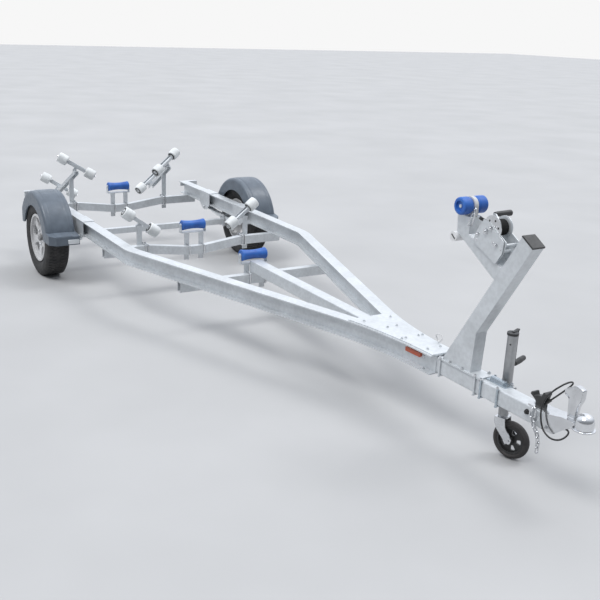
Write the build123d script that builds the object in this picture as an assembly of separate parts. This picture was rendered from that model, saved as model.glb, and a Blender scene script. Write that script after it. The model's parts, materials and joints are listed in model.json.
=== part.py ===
from build123d import *
from math import asin, atan2, cos, degrees, hypot, radians, sin, sqrt, tan
import os

os.makedirs("parts", exist_ok=True)

# A single-axle boat trailer, parked on its two road wheels and its jockey wheel. Millimetres.
# The chassis is modelled level: X forward, Y to the left, Z up, the axle over X = 0 and the road
# wheels standing on Z = 0. At the end everything is turned nose down about the axle until the
# jockey wheel reaches the same floor, and moved along X so that the origin is under the middle.

# Fits and plate gauges
seat_gap = 0.3
running_gap = 0.06
plate_t = 5.0
bolt_r = 5.0

# Road wheels
tyre_r = 300.0
tyre_w = 185.0
rim_r = 188.0
bead_r = 178.0
rim_half = 80.5
rim_wall = 9.0
wheel_y = 887.0
spoke_count = 5
hub_face = 15.0
hub_flange_r = 68.0
spindle_r = 17.0

# Axle and springs
axle_size = 45.0
axle_pad = 6.0
spring_half = 325.0
leaf_w = 50.0
leaf_t = 7.0
eye_pin_r = 8.0
eye_drop = 24.0
hanger_half = 95.0

# Side rails: I-section, parallel at the back, bent in to the drawbar at the front
rail_h = 102.0
rail_w = 80.0
rail_flange = 7.0
rail_web = 5.0
rail_top = 495.0
rail_y = 691.5
rail_rear_x = -858.0
bend_x = 1297.0
bend_r = 300.0
bend_angle = 17.2
nose_arc_r = 2400.0
nose_tail = 10.0

# Nose plate on the rails
nose_plate_x = 3140.0
nose_plate_inset = 10.0
nose_plate_t = 6.0

# Drawbar
drawbar_size = 80.0
drawbar_wall = 5.0
drawbar_corner = 8.0
drawbar_rear_x = 1800.0
drawbar_front_x = 4490.0

# Cross-members: centre place along X, half length, drop of the middle
member_w = 50.0
member_h = 65.0
member_wall = 4.0
member_knee = 380.0
member_flat = 70.0
member_bend_r = 120.0
member_drop = 40.0
rear_member_x = -730.0
front_member_x = 855.0
nose_member_x = 1817.0

# Keel rollers
keel_r = 39.0
keel_waist_r = 31.0
keel_half = 96.0
keel_pin_r = 8.0
keel_back = 52.0
keel_rear_z = 507.0
keel_front_z = 504.0
keel_nose_z = 511.0
keel_leg_y = 60.0
keel_leg_w = 40.0
leg_below = 50.0

# Pale rollers of the cradles
pad_r = 45.0
pad_half = 42.0
rod_r = 8.0
channel_w = 44.0
channel_h = 26.0
channel_t = 3.0
stem_w = 40.0
stem_t = 10.0
bush_r = 15.0
bush_len = 30.0
bush_pin_r = 8.0
bush_drop = 36.0
arm_wall = 4.0
arm_drop = 20.0

# Mudguards
guard_in_y = 770.0
guard_out_y = 996.0
guard_wall = 4.0
guard_rear_x = -322.0
guard_front_x = 448.0
guard_r = 370.0
guard_corner_r = 90.0
guard_edge_r = 26.0
guard_rear_foot = 375.0
guard_lip_foot = 334.0
arch_r = 268.0
lip_z = 412.0
lip_front_z = 398.0
lip_chamfer = 45.0

# Winch post, leaning forward
post_foot_x = 3888.0
post_lean = 30.9
post_size = 80.0
post_width = 70.0
post_wall = 4.0
post_bolts = (3796.0, 4052.0)
post_cap_z = 1195.0
cap_t = 8.0
foot_rear_x = 3778.0
foot_front_x = 4084.0
foot_w = 92.0
foot_t = 8.0
gusset_x = 4004.0
gusset_top = 700.0

# Bow roller and its arm
bow_x = 3855.0
bow_z = 1276.0
bow_r = 42.0
bow_half = 74.0
bow_lug_half = 12.0
bow_lug_r = 38.0
bow_rise = 48.0
bow_drop = 85.0
keeper_r = 24.0
bow_strap_w = 20.0
bow_strap_t = 3.0

# Winch
drum_x = 4050.0
drum_z = 1212.0
drum_flange_r = 48.0
drum_core_r = 16.0
drum_coil_r = 38.0
drum_half = 31.0
side_t = 4.0
side_top_r = 52.0
crank_x = 4075.0
crank_z = 1155.0
grip_x = 3960.0
grip_z = 1249.0
grip_r = 14.0
grip_len = 105.0

# Coupling: socket for a 50 mm towing ball
ball_x = 4684.0
socket_z = 497.0
socket_r = 25.4
tail_t = 8.0
lever_step = 14.0
dome_r = 41.0
brim_r = 50.0
brim_t = 8.0
brim_z = 474.0
coupling_half = 42.0
coupling_wall = 5.0

# Jockey wheel
jockey_x = 4133.0
jockey_y = 88.0
jockey_tube_r = 24.5
jockey_tube_wall = 3.0
jockey_top = 706.0
crown_z = 290.7
crown_t = 6.0
crown_gap = 5.3
swing_z = 432.0
swing_pin_r = 10.0
boss_len = 16.0
latch_x = 52.0
latch_z = 22.0
swivel_pin_r = 10.0
caster_yaw = 16.7
trail = 58.6
jockey_wheel_z = 183.7
jockey_wheel_r = 96.0
jockey_wheel_w = 44.0
fork_half = 32.0
fork_t = 5.0
jockey_axle_r = 6.0
leg_len = 350.0
crank_yaw = 111.7
crank_reach = 56.0
crank_grip_z = 542.0
crank_grip_len = 118.0

# Trailer plug, cable and safety chain
plug_foot = 4438.0
plug_half = 19.0
cup_h = 12.0
cable_d = 8.0
link_wire = 7.0
link_inner = 24.0
link_gap = 9.0
ring_wire = 8.0
ring_inner = 44.0
ring_gap = 24.0
chain_bolt_x = 4440.0
chain_bolt_z = 482.0

# Places that follow
rail_bottom = rail_top - rail_h
drawbar_z0 = rail_bottom + rail_flange
drawbar_z1 = drawbar_z0 + drawbar_size
half_bar = drawbar_size / 2
nose_y = half_bar + rail_web / 2
eye_z = rail_bottom - eye_drop
axle_top = tyre_r + axle_size / 2
axle_bottom = tyre_r - axle_size / 2
beam_half = wheel_y - 62.0


def block(x0, x1, y0, y1, z0, z1):
    """A box between two opposite corners."""
    return Pos((x0 + x1) / 2, (y0 + y1) / 2, (z0 + z1) / 2) * Box(x1 - x0, y1 - y0, z1 - z0)


def rod(start, end, radius):
    """A round bar from one point to another."""
    a, b = Vector(start), Vector(end)
    return Solid.make_cylinder(radius, (b - a).length, Plane(origin=a, z_dir=b - a))


def outline(rows):
    """A closed outline. Each row: u, v, corner radius."""
    face = make_face(Polyline(*[(u, v) for u, v, r in rows], close=True))
    for u, v, r in rows:
        if r > 0:
            face = fillet(face.vertices().sort_by_distance((u, v, 0))[0:1], r)
    return face


def across(face, y0, y1):
    """Extrude an (x, z) outline from one distance from the centre line to another."""
    return extrude(Plane((0, y1, 0), x_dir=(1, 0, 0), z_dir=(0, -1, 0)) * face, amount=y1 - y0)


def along(face, x0, x1):
    """Extrude a (y, z) outline from one place along the trailer to another."""
    return extrude(Plane((x0, 0, 0), x_dir=(0, 1, 0), z_dir=(1, 0, 0)) * face, amount=x1 - x0)


def upright(face, z0, z1):
    """Extrude an (x, y) outline from one height to another."""
    return extrude(Pos(0, 0, z0) * face, amount=z1 - z0)


def turned(face, place):
    """Revolve a (y, radius) outline about a line along Y, and move it to its place."""
    return Pos(*place) * revolve(Plane.YZ * face, axis=Axis.Y)


def other_side(shape):
    return mirror(shape, about=Plane.XZ)


def sides(shape):
    """The left piece and its mirror image on the right."""
    return {"left": shape, "right": other_side(shape)}


# Rail path in plan: x, y, heading in degrees, at the ends and middles of its straights and arcs
def rail_path():
    t = bend_r * tan(radians(bend_angle / 2))
    c, s = cos(radians(bend_angle)), sin(radians(bend_angle))
    arc_y = nose_y + nose_arc_r * (1 - c)
    arc_x = bend_x + (rail_y - arc_y) * c / s
    end_x = arc_x + nose_arc_r * s
    bend_c = (bend_x - t, rail_y - bend_r)
    nose_c = (end_x, nose_y + nose_arc_r)
    rows = [(rail_rear_x, rail_y, 0.0), (bend_x - t, rail_y, 0.0)]
    for k in (0.5, 1.0):
        a = radians(bend_angle * k)
        rows.append((bend_c[0] + bend_r * sin(a), bend_c[1] + bend_r * cos(a), -bend_angle * k))
    for k in (1.0, 0.5, 0.0):
        a = radians(bend_angle * k)
        rows.append((nose_c[0] - nose_arc_r * sin(a), nose_c[1] - nose_arc_r * cos(a), -bend_angle * k))
    rows.append((end_x + nose_tail, nose_y, 0.0))
    return rows


path = rail_path()
rail_front_x = path[-1][0]


def beside(offset):
    """The rail path moved sideways, outwards where the offset is positive."""
    return [(x - offset * sin(radians(h)), y + offset * cos(radians(h))) for x, y, h in path]


def band(half_width):
    """Plan outline of the rail path with a width."""
    p, q = beside(half_width), beside(-half_width)
    edges = []
    for e in (p, q):
        edges += [Line(e[0], e[1]), ThreePointArc(e[1], e[2], e[3]), Line(e[3], e[4])]
        edges += [ThreePointArc(e[4], e[5], e[6]), Line(e[6], e[7])]
    edges += [Line(p[0], q[0]), Line(p[-1], q[-1])]
    return make_face(edges)


def rail():
    flange = band(rail_w / 2)
    web = band(rail_web / 2)
    body = upright(flange, rail_bottom, rail_bottom + rail_flange)
    body += upright(web, rail_bottom + rail_flange, rail_top - rail_flange)
    return body + upright(flange, rail_top - rail_flange, rail_top)


def rail_web_y(x):
    """Distance of the rail's centre line from the trailer's, near its front end."""
    return nose_y + nose_arc_r - sqrt(nose_arc_r**2 - (rail_front_x - nose_tail - x) ** 2)


def nose_plate():
    e = beside(rail_w / 2 - nose_plate_inset)
    edges = []
    for s in (1, -1):
        a, m, b, f = [(x, s * y) for x, y in e[4:8]]
        edges += [ThreePointArc(a, m, b), Line(b, f)]
    edges += [Line((e[4][0], e[4][1]), (e[4][0], -e[4][1])), Line((e[7][0], e[7][1]), (e[7][0], -e[7][1]))]
    plate = upright(make_face(edges), rail_top, rail_top + nose_plate_t)
    rear = block(nose_plate_x - 500, nose_plate_x, -300, 300, rail_top - 1, rail_top + nose_plate_t + 1)
    return plate - rear


def drawbar():
    c = drawbar_z0 + half_bar
    outer = Pos(0, c) * RectangleRounded(drawbar_size, drawbar_size, drawbar_corner)
    bore = drawbar_size - 2 * drawbar_wall
    inner = Pos(0, c) * RectangleRounded(bore, bore, drawbar_corner - drawbar_wall)
    return along(outer - inner, drawbar_rear_x, drawbar_front_x)


def member(x, half_len, drop):
    """A box-tube cross-member with its middle let down between two knees."""
    def section(inset):
        top = rail_bottom - inset
        low = rail_bottom - member_h + inset
        if drop == 0:
            return outline([(-half_len, low, 0), (half_len, low, 0), (half_len, top, 0), (-half_len, top, 0)])
        r = member_bend_r
        k, m = member_knee, member_flat
        rows = [(-half_len, top, 0), (-k, top, r), (-m, top - drop, r), (m, top - drop, r), (k, top, r),
                (half_len, top, 0), (half_len, low, 0), (k, low, r), (m, low - drop, r), (-m, low - drop, r),
                (-k, low, r), (-half_len, low, 0)]
        return outline(rows)
    w = member_w / 2
    body = along(section(0), x - w, x + w)
    return body - along(section(member_wall), x - w + member_wall, x + w - member_wall)


def rail_edge(x):
    """Outer edge of the rail at a place behind the nose arc."""
    if x < bend_x:
        return rail_y + rail_w / 2
    return rail_y - (x - bend_x) * tan(radians(bend_angle)) + rail_w / 2


def cross_nose():
    """The nose member carries the drawbar's rear end on a packing plate."""
    body = member(nose_member_x, rail_edge(nose_member_x), 0)
    w = member_w / 2
    pad = block(nose_member_x - w, nose_member_x + w, -half_bar - 20, half_bar + 20, rail_bottom, drawbar_z0)
    return body + pad


# Keel rollers: name, place of the roller along X, its height, middle of its member's underside
keel_rows = [("rear", rear_member_x - keel_back, keel_rear_z, rail_bottom - member_h - member_drop),
             ("middle", front_member_x - keel_back, keel_front_z, rail_bottom - member_h - member_drop),
             ("nose", nose_member_x - keel_back, keel_nose_z, rail_bottom - member_h)]


def keel_bracket(x, z, underside):
    """Two flat legs on the back of the member, a strip under the roller, ears and the roller's pin."""
    strip_z = z - keel_r - 14
    face_x = x + keel_back - member_w / 2
    ear_y = keel_half + 2
    body = block(x - 25, face_x, -ear_y - plate_t, ear_y + plate_t, strip_z - plate_t, strip_z)
    for s in (-1, 1):
        leg = block(face_x - 6, face_x, s * keel_leg_y - keel_leg_w / 2, s * keel_leg_y + keel_leg_w / 2,
                    underside - leg_below, strip_z - plate_t)
        ear = outline([(x - 20, strip_z - plate_t, 0), (x + 20, strip_z - plate_t, 0), (x + 14, z + 14, 12),
                       (x - 14, z + 14, 12)])
        y0 = s * ear_y if s > 0 else -ear_y - plate_t
        body += leg + across(ear, y0, y0 + plate_t)
    return body + rod((x, -ear_y - 10, z), (x, ear_y + 10, z), keel_pin_r)


def waisted_roller(half, r_end, r_waist, r_bore):
    """Outline of a roller with full ends and a hollowed waist."""
    edge = 8.0
    edges = [Line((-half, r_bore), (half, r_bore)), Line((half, r_bore), (half, r_end - edge)),
             ThreePointArc((half, r_end - edge), (half - 0.3 * edge, r_end - 0.3 * edge),
                           (half - edge, r_end)),
             ThreePointArc((half - edge, r_end), (0, r_waist), (-half + edge, r_end)),
             ThreePointArc((-half + edge, r_end), (-half + 0.3 * edge, r_end - 0.3 * edge),
                           (-half, r_end - edge)),
             Line((-half, r_end - edge), (-half, r_bore))]
    return make_face(edges)


def keel_roller(x, z):
    face = waisted_roller(keel_half, keel_r, keel_waist_r, keel_pin_r + running_gap)
    return turned(face, (x, 0, z))


# Twin rollers of the left cradles: name, outer roller's centre, inner roller's centre
twins = {"front": ((793.0, 516.0, 620.0), (816.0, 330.0, 491.0)),
         "rear_upper": ((-713.0, 518.0, 787.0), (-612.0, 316.0, 665.0)),
         "rear_lower": ((-1149.0, 545.0, 545.0), (-1067.0, 334.0, 413.0))}


def twin_frame(name):
    """A plane on the twin's middle: its x runs to the outer roller, its z points up out of the channel."""
    a, b = Vector(*twins[name][0]), Vector(*twins[name][1])
    d = (a - b).normalized()
    up = (Vector(0, 0, 1) - d * d.Z).normalized()
    return Plane(origin=(a + b) * 0.5, x_dir=d, z_dir=up), (a - b).length / 2


def twin_channel(name):
    """Open channel between two rollers, with its rod and the bush that it rocks on."""
    frame, reach = twin_frame(name)
    half = reach - pad_half - 4
    w, h, t = channel_w / 2, channel_h / 2, channel_t
    u = outline([(-w, h, 0), (-w, -h, 3), (w, -h, 3), (w, h, 0), (w - t, h, 0), (w - t, -h + t, 0),
                 (-w + t, -h + t, 0), (-w + t, h, 0)])
    body = extrude(Plane.YZ.offset(-half) * u, amount=2 * half)
    for s in (-1, 1):
        body += Pos(s * (half - t / 2), 0, 0) * Box(t, 2 * w, 2 * h)
    end = reach + pad_half + 6
    body += rod((-end, 0, 0), (end, 0, 0), rod_r)
    body += Pos(0, 0, -(h + bush_drop) / 2) * Box(1.6 * bush_r, bush_len, bush_drop - h)
    body += Pos(0, 0, -bush_drop) * Rot(90, 0, 0) * Cylinder(bush_r, bush_len)
    body -= Pos(0, 0, -bush_drop) * Rot(90, 0, 0) * Cylinder(bush_pin_r + seat_gap, bush_len + 2)
    return frame * body


def twin_rollers(name):
    frame, reach = twin_frame(name)
    bore = rod_r + running_gap
    edges = outline([(-pad_half, bore, 0), (pad_half, bore, 0), (pad_half, pad_r - 2, 9), (0, pad_r, 0),
                     (-pad_half, pad_r - 2, 9)])
    recess = 9.0
    hollow = outline([(pad_half - recess, bore + 10, 0), (pad_half + 1, bore + 10, 0),
                      (pad_half + 1, pad_r - 10, 0), (pad_half - recess, pad_r - 12, 0)])
    ring = revolve(Plane.XY * edges, axis=Axis.X)
    ring -= revolve(Plane.XY * hollow, axis=Axis.X)
    ring -= mirror(revolve(Plane.XY * hollow, axis=Axis.X), about=Plane.YZ)
    body = Pos(reach, 0, 0) * ring + Pos(-reach, 0, 0) * ring
    return frame * body


def bush_centre(name):
    frame, reach = twin_frame(name)
    return frame.origin - frame.z_dir * bush_drop


def pin_line(name):
    """Direction of the pin that a twin rocks on: level, square to its rollers, pointing forward."""
    frame, reach = twin_frame(name)
    return frame.y_dir if frame.y_dir.X > 0 else frame.y_dir * -1


def front_cradle():
    """Stem on the back of the front member, with the pin of its twin."""
    c, p = bush_centre("front"), pin_line("front")
    x1 = front_member_x - member_w / 2
    stem = block(x1 - stem_t, x1, c.Y - stem_w / 2, c.Y + stem_w / 2, rail_bottom - member_h - leg_below,
                 c.Z + 11)
    start, end = c - p * (bush_len / 2 + 8), c + p * (bush_len / 2 + 12)
    body = stem + rod(start, end, bush_pin_r)
    return body + rod(start, (c - p * (bush_len / 2 + seat_gap)), bush_pin_r + 5)


def pin_bracket(name):
    """Two lugs on a base, either side of a twin's bush, with the pin through them."""
    c, p = bush_centre(name), pin_line(name)
    frame = Plane(origin=c, x_dir=(p.Y, -p.X, 0), z_dir=(0, 0, 1))
    inner, t, low = bush_len / 2 + 1, 4.0, bush_r + 3
    base = block(-bush_r, bush_r, -inner - t, inner + t, -low - t, -low)
    r = bush_r - 3
    lug = outline([(-bush_r, -low, 0), (bush_r, -low, 0), (r, 0, 0), (-r, 0, 0)]) + Circle(r)
    body = base + across(lug, inner, inner + t) + across(lug, -inner - t, -inner)
    return frame * (body + rod((0, -inner - t - 6, 0), (0, inner + t + 6, 0), bush_pin_r))


def rear_cradle():
    """Stem on the back of the rear member and the long folded arm between its two twins."""
    a, b = bush_centre("rear_upper"), bush_centre("rear_lower")
    d = (a - b).normalized()
    up = (Vector(0, 0, 1) - d * d.Z).normalized()
    frame = Plane(origin=(a + b) * 0.5, x_dir=d, z_dir=up)
    length, w, h, t = (a - b).length + 50, channel_w, channel_h, arm_wall
    bar = Pos(0, 0, -arm_drop - h / 2) * Box(length, w, h)
    bar -= Pos(0, 0, -arm_drop - h / 2 - t) * Box(length + 2, w - 2 * t, h)
    x1 = rear_member_x - member_w / 2
    k = (x1 - stem_t / 2 - b.X) / (a.X - b.X)
    p = b + (a - b) * k
    top = p.Z - (arm_drop + t / 2) / up.Z
    stem = block(x1 - stem_t, x1, p.Y - stem_w / 2, p.Y + stem_w / 2, rail_bottom - member_h - leg_below, top)
    return frame * bar + pin_bracket("rear_upper") + pin_bracket("rear_lower") + stem


def axle():
    """Square beam with spring pads and a stub spindle at each end."""
    s = axle_size / 2
    body = block(-s, s, -beam_half, beam_half, axle_bottom, axle_top)
    for k in (-1, 1):
        body += block(-s, s, k * rail_y - leaf_w / 2, k * rail_y + leaf_w / 2, axle_top, axle_top + axle_pad)
        body += rod((0, k * beam_half, tyre_r), (0, k * (wheel_y + 44), tyre_r), spindle_r)
    return body


def leaf_spring():
    """Three graduated leaves, the top one rolled into an eye at each end."""
    eye_in = eye_pin_r + 0.2
    centre_z = axle_top + axle_pad + 2.5 * leaf_t
    sag = eye_z - (eye_in + leaf_t / 2) - centre_z
    radius = (spring_half**2 + sag**2) / (2 * sag)
    origin_z = centre_z + radius
    face = None
    # leaf number from the top, half length
    for n, half in ((0, spring_half), (1, 0.7 * spring_half), (2, 0.42 * spring_half)):
        lo, hi = radius + (n + 0.5) * leaf_t, radius + (n - 0.5) * leaf_t
        zl, zh = origin_z - sqrt(lo**2 - half**2), origin_z - sqrt(hi**2 - half**2)
        leaf = make_face([ThreePointArc((-half, zl), (0, origin_z - lo), (half, zl)),
                          Line((half, zl), (half, zh)),
                          ThreePointArc((half, zh), (0, origin_z - hi), (-half, zh)),
                          Line((-half, zh), (-half, zl))])
        face = leaf if face is None else face + leaf
    for s in (-1, 1):
        face += Pos(s * spring_half, eye_z) * Circle(eye_in + leaf_t)
    for s in (-1, 1):
        face -= Pos(s * spring_half, eye_z) * Circle(eye_in)
    return across(face, rail_y - leaf_w / 2, rail_y + leaf_w / 2)


def spring_clamp():
    """Plates above the spring and below the axle, tied by four bolt legs."""
    dx, dy = axle_size / 2 + 7, leaf_w / 2 + 7
    top = axle_top + axle_pad + 3 * leaf_t + seat_gap
    body = block(-dx - 10, dx + 10, rail_y - dy - 10, rail_y + dy + 10, axle_bottom - 8, axle_bottom)
    body += block(-dx - 10, dx + 10, rail_y - dy - 10, rail_y + dy + 10, top, top + 8)
    for sx in (-1, 1):
        for sy in (-1, 1):
            p = (sx * dx, rail_y + sy * dy)
            body += rod((*p, axle_bottom - 18), (*p, top + 16), bolt_r)
    return body


def hanger(x):
    """Folded saddle over the rail, its ears below carrying the spring eye's pin."""
    h, t = rail_w / 2 + seat_gap, plate_t
    low = eye_z - 26
    face = outline([(x - hanger_half, rail_top + t, 0), (x - hanger_half, rail_bottom - 2, 14),
                    (x - 34, low, 24),
                    (x + 34, low, 24), (x + hanger_half, rail_bottom - 2, 14),
                    (x + hanger_half, rail_top + t, 0)])
    body = across(face, rail_y - h - t, rail_y - h) + across(face, rail_y + h, rail_y + h + t)
    body += block(x - hanger_half, x + hanger_half, rail_y - h - t, rail_y + h + t, rail_top, rail_top + t)
    return body + rod((x, rail_y - h - t - 6, eye_z), (x, rail_y + h + t + 6, eye_z), eye_pin_r)


def tyre():
    m = tyre_w / 2
    seat = rim_half - 10.5
    bead_top = rim_r + 4
    shoulder = tyre_r - 12
    edges = [Line((-seat, bead_r), (seat, bead_r)), Line((seat, bead_r), (seat, bead_top)),
             ThreePointArc((seat, bead_top), (m, 0.79 * tyre_r), (m - 12, shoulder)),
             ThreePointArc((m - 12, shoulder), (0, tyre_r), (-m + 12, shoulder)),
             ThreePointArc((-m + 12, shoulder), (-m, 0.79 * tyre_r), (-seat, bead_top)),
             Line((-seat, bead_top), (-seat, bead_r))]
    return turned(make_face(edges), (0, wheel_y, tyre_r))


def rim():
    """Barrel, dished face with windows, and the pad that bolts to the hub."""
    seat = bead_r - seat_gap
    lip = rim_half - 9.0
    inner = seat - rim_wall
    barrel = outline([(-rim_half, inner + 2, 0), (-rim_half, rim_r, 3), (-lip - seat_gap, rim_r - 1, 0),
                      (-lip - seat_gap, seat, 0), (lip + seat_gap, seat, 0), (lip + seat_gap, rim_r - 1, 0),
                      (rim_half, rim_r, 3), (rim_half, inner + 2, 0)])
    pad_in = 34.0
    face = outline([(hub_face, pad_in, 0), (hub_face, 66, 0), (38, 78, 8), (48, inner + 3, 0),
                    (64, inner + 3, 0),
                    (58, 90, 20), (52, 70, 10), (46, pad_in, 0)])
    body = turned(barrel + face, (0, wheel_y, tyre_r))
    # five windows, each a rounded wedge between two spokes
    inner_r, outer_r, half_angle = 84.0, inner - 14.0, 23.0
    a = radians(half_angle)
    window = outline([(inner_r * cos(a), -inner_r * sin(a) + 8, 8), (outer_r * cos(a), -outer_r * sin(a), 12),
                      (outer_r * 1.04, 0, 0), (outer_r * cos(a), outer_r * sin(a), 12),
                      (inner_r * cos(a), inner_r * sin(a) - 8, 8)])
    for k in range(spoke_count):
        cut = across(Rot(0, 0, k * 360 / spoke_count + 90) * window, 0, 100)
        body -= Pos(0, wheel_y, tyre_r) * cut
    return body


def hub():
    """Hub flange, body on the spindle and the dust cap that shows in the rim's centre."""
    bore = spindle_r + running_gap
    face = outline([(-58, bore, 0), (-58, 38, 4), (hub_face - 12, 40, 0), (hub_face - 12, hub_flange_r, 0),
                    (hub_face, hub_flange_r, 0), (hub_face, 33.5, 0), (hub_face + 16, 33.5, 0),
                    (hub_face + 16, 28, 0),
                    (68, 26, 8), (70, 0, 0), (46, 0, 0), (46, bore, 0)])
    return turned(face, (0, wheel_y, tyre_r))


def guard_block(inset):
    """The mudguard's outer form, drawn in by a wall: an arch round the axle, run out to a lip in front."""
    base = 250.0
    r = guard_r - inset
    rear, front = guard_rear_x + inset, guard_front_x - inset
    rear_z = tyre_r + sqrt(r**2 - rear**2)
    lip = (sqrt(r**2 - (lip_z - inset - tyre_r) ** 2), lip_z - inset)
    toe = (front, lip_front_z - inset)
    face = make_face([Line((rear, base), (rear, rear_z)), ThreePointArc((rear, rear_z), (0, tyre_r + r), lip),
                      Line(lip, toe), Line(toe, (front, base)), Line((front, base), (rear, base))])
    face = fillet(face.vertices().sort_by_distance((rear, rear_z, 0))[0:1], guard_corner_r - inset)
    body = across(face, guard_in_y + inset, guard_out_y - inset)
    sides = [body.faces().sort_by(Axis.Y)[0], body.faces().sort_by(Axis.Y)[-1]]
    shoulder = [e for side in sides for e in side.edges() if e.geom_type == GeomType.CIRCLE]
    shoulder += [side.edges().sort_by(Axis.X)[0] for side in sides]
    body = fillet(shoulder, guard_edge_r - inset)
    c = lip_chamfer + 0.5858 * inset
    corner = outline([(front + 20, guard_out_y + 20 - inset, 0), (front - c - 20, guard_out_y + 20 - inset, 0),
                      (front + 20, guard_out_y - c - 20 - inset, 0)])
    return body - upright(corner, base - 10, lip_z)


def mudguard():
    """One-piece shell over the wheel, open below, with an arch in each side wall."""
    body = guard_block(0) - guard_block(guard_wall)
    body -= rod((0, guard_in_y - 5, tyre_r), (0, guard_out_y + 5, tyre_r), arch_r)
    body -= block(guard_rear_x - 5, 0, guard_in_y - 5, guard_out_y + 5, 200, guard_rear_foot)
    return body - block(0, guard_front_x + 5, guard_in_y - 5, guard_out_y + 5, 200, guard_lip_foot)


def guard_stays():
    """Folded straps from the hangers' outer sides to the guard's inner wall."""
    y0 = rail_y + rail_w / 2 + seat_gap + plate_t
    body = None
    # place along X, height of the strap
    for x, z in ((-290.0, 430.0), (385.0, 358.0)):
        w, t = 20.0, plate_t
        strap = outline([(y0, z, 0), (guard_in_y, z, 0), (guard_in_y, z + 40, 0), (guard_in_y - t, z + 40, 0),
                         (guard_in_y - t, z + t, 0), (y0 + t, z + t, 0), (y0 + t, z + 40, 0),
                         (y0, z + 40, 0)])
        piece = along(strap, x - w, x + w)
        body = piece if body is None else body + piece
    return body


def guard_lamp():
    """Clear lamp on the front lip of the mudguard."""
    lens = outline([(778, 345, 6), (862, 345, 6), (862, 377, 6), (778, 377, 6)])
    return along(lens, guard_front_x, guard_front_x + 14)


def side_lamp():
    """Amber lamp on the outer face of the rail's web."""
    x = 3600.0
    y = rail_web_y(x) + rail_web / 2 + 1.0
    lens = outline([(-57, -12, 5), (57, -12, 5), (57, 12, 5), (-57, 12, 5)])
    slope = degrees(asin((rail_front_x - nose_tail - x) / nose_arc_r))
    return Pos(x, y, rail_top - 37) * Rot(0, 0, -slope) * across(lens, 0, 13)


def light_bracket():
    """Angle strip across the rail's rear end, reaching outwards, with two holes for a light board."""
    inner, outer, leg = rail_y - rail_w / 2, rail_y + rail_w / 2 + 90, 40.0
    t = 4.0
    body = block(rail_rear_x - leg, rail_rear_x, inner, outer, rail_top - t, rail_top)
    body += block(rail_rear_x - t, rail_rear_x, inner, outer, rail_top - leg, rail_top)
    for y in (outer - 20, outer - 60):
        body -= rod((rail_rear_x - leg / 2 - 2, y, rail_top - 10),
                    (rail_rear_x - leg / 2 - 2, y, rail_top + 10), 4.5)
    return body


def post_side(z, width_share):
    """A point on the leaning post's side outline, from its rear edge (0) to its front edge (1)."""
    level_w = post_size / cos(radians(post_lean))
    rear = post_foot_x - level_w + (z - drawbar_z1) * tan(radians(post_lean))
    return rear + level_w * width_share


def winch_post():
    """Foot plate, leaning box post and the boxed gusset in front of its foot."""
    z0 = drawbar_z1 + foot_t
    lean = radians(post_lean)
    cz = post_cap_z + 19
    rear_top = (post_side(cz, 0), cz)
    front = (rear_top[0] + post_size * cos(lean), rear_top[1] - post_size * sin(lean))
    tube = outline([(post_side(z0, 0), z0, 0), (post_side(z0, 1), z0, 0), (*front, 0), (*rear_top, 0)])
    gusset = outline([(post_side(z0, 0.5), z0, 0), (gusset_x, z0, 0), (gusset_x + 12, gusset_top, 0),
                      (post_side(gusset_top + 70, 1), gusset_top + 70, 0),
                      (post_side(gusset_top, 0.5), gusset_top, 0)])
    body = across(tube, -post_width / 2, post_width / 2) + across(gusset, -post_width / 2, post_width / 2)
    hollow = post_width / 2 - post_wall
    body -= across(offset(tube, amount=-post_wall, kind=Kind.INTERSECTION), -hollow, hollow)
    for x in post_bolts:
        body += ubolt(x)
    return body + block(foot_rear_x, foot_front_x, -foot_w / 2, foot_w / 2, drawbar_z1, z0)


def post_cap():
    """Black cap on the post's upper end."""
    lean = radians(post_lean)
    cz = post_cap_z + 19
    a = (post_side(cz, 0), cz)
    n = (sin(lean), cos(lean))
    d = (cos(lean), -sin(lean))
    lip = 2.0
    far = post_size + lip
    p = [(a[0] - lip * d[0], a[1] - lip * d[1]), (a[0] + far * d[0], a[1] + far * d[1])]
    q = [(p[1][0] + cap_t * n[0], p[1][1] + cap_t * n[1]), (p[0][0] + cap_t * n[0], p[0][1] + cap_t * n[1])]
    face = outline([(*p[0], 0), (*p[1], 0), (*q[0], 3), (*q[1], 3)])
    return across(face, -post_width / 2 - lip, post_width / 2 + lip)


def bow_shoulder():
    """Height of the arm's upper edge, below the bow roller."""
    return bow_z - bow_rise


def bow_arm():
    """Arm from the post up to the bow roller, with its lug and pin."""
    top = bow_shoulder()
    corner = top - bow_drop
    z0, z1 = corner - 100.0, corner - 165.0
    rear, front = bow_x - 48.0, bow_x + 41.0
    face = outline([(rear + 7, corner, 6), (rear, top, 4), (front, top, 4), (front, corner + 3, 6),
                    (post_side(z0, 0) - seat_gap, z0, 0), (post_side(z1, 0) - seat_gap, z1, 0)])
    body = across(face, -post_width / 2, post_width / 2)
    left, right = bow_x - bow_lug_r, bow_x + bow_lug_r
    lug = outline([(left, top - 5, 0), (right, top - 5, 0), (right, bow_z, 0), (left, bow_z, 0)])
    lug += Pos(bow_x, bow_z) * Circle(bow_lug_r)
    body += across(lug, -bow_lug_half, bow_lug_half)
    return body + rod((bow_x, -bow_half + 6, bow_z), (bow_x, bow_half - 6, bow_z), keel_pin_r)


def bow_keeper():
    """Pale nylon bar across the arm's rear corner."""
    x, z = bow_x - 47.0, bow_shoulder() - bow_drop - 25.0
    body = rod((x, -post_width / 2 - 16, z), (x, post_width / 2 + 16, z), keeper_r)
    return body - bow_arm()


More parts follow.
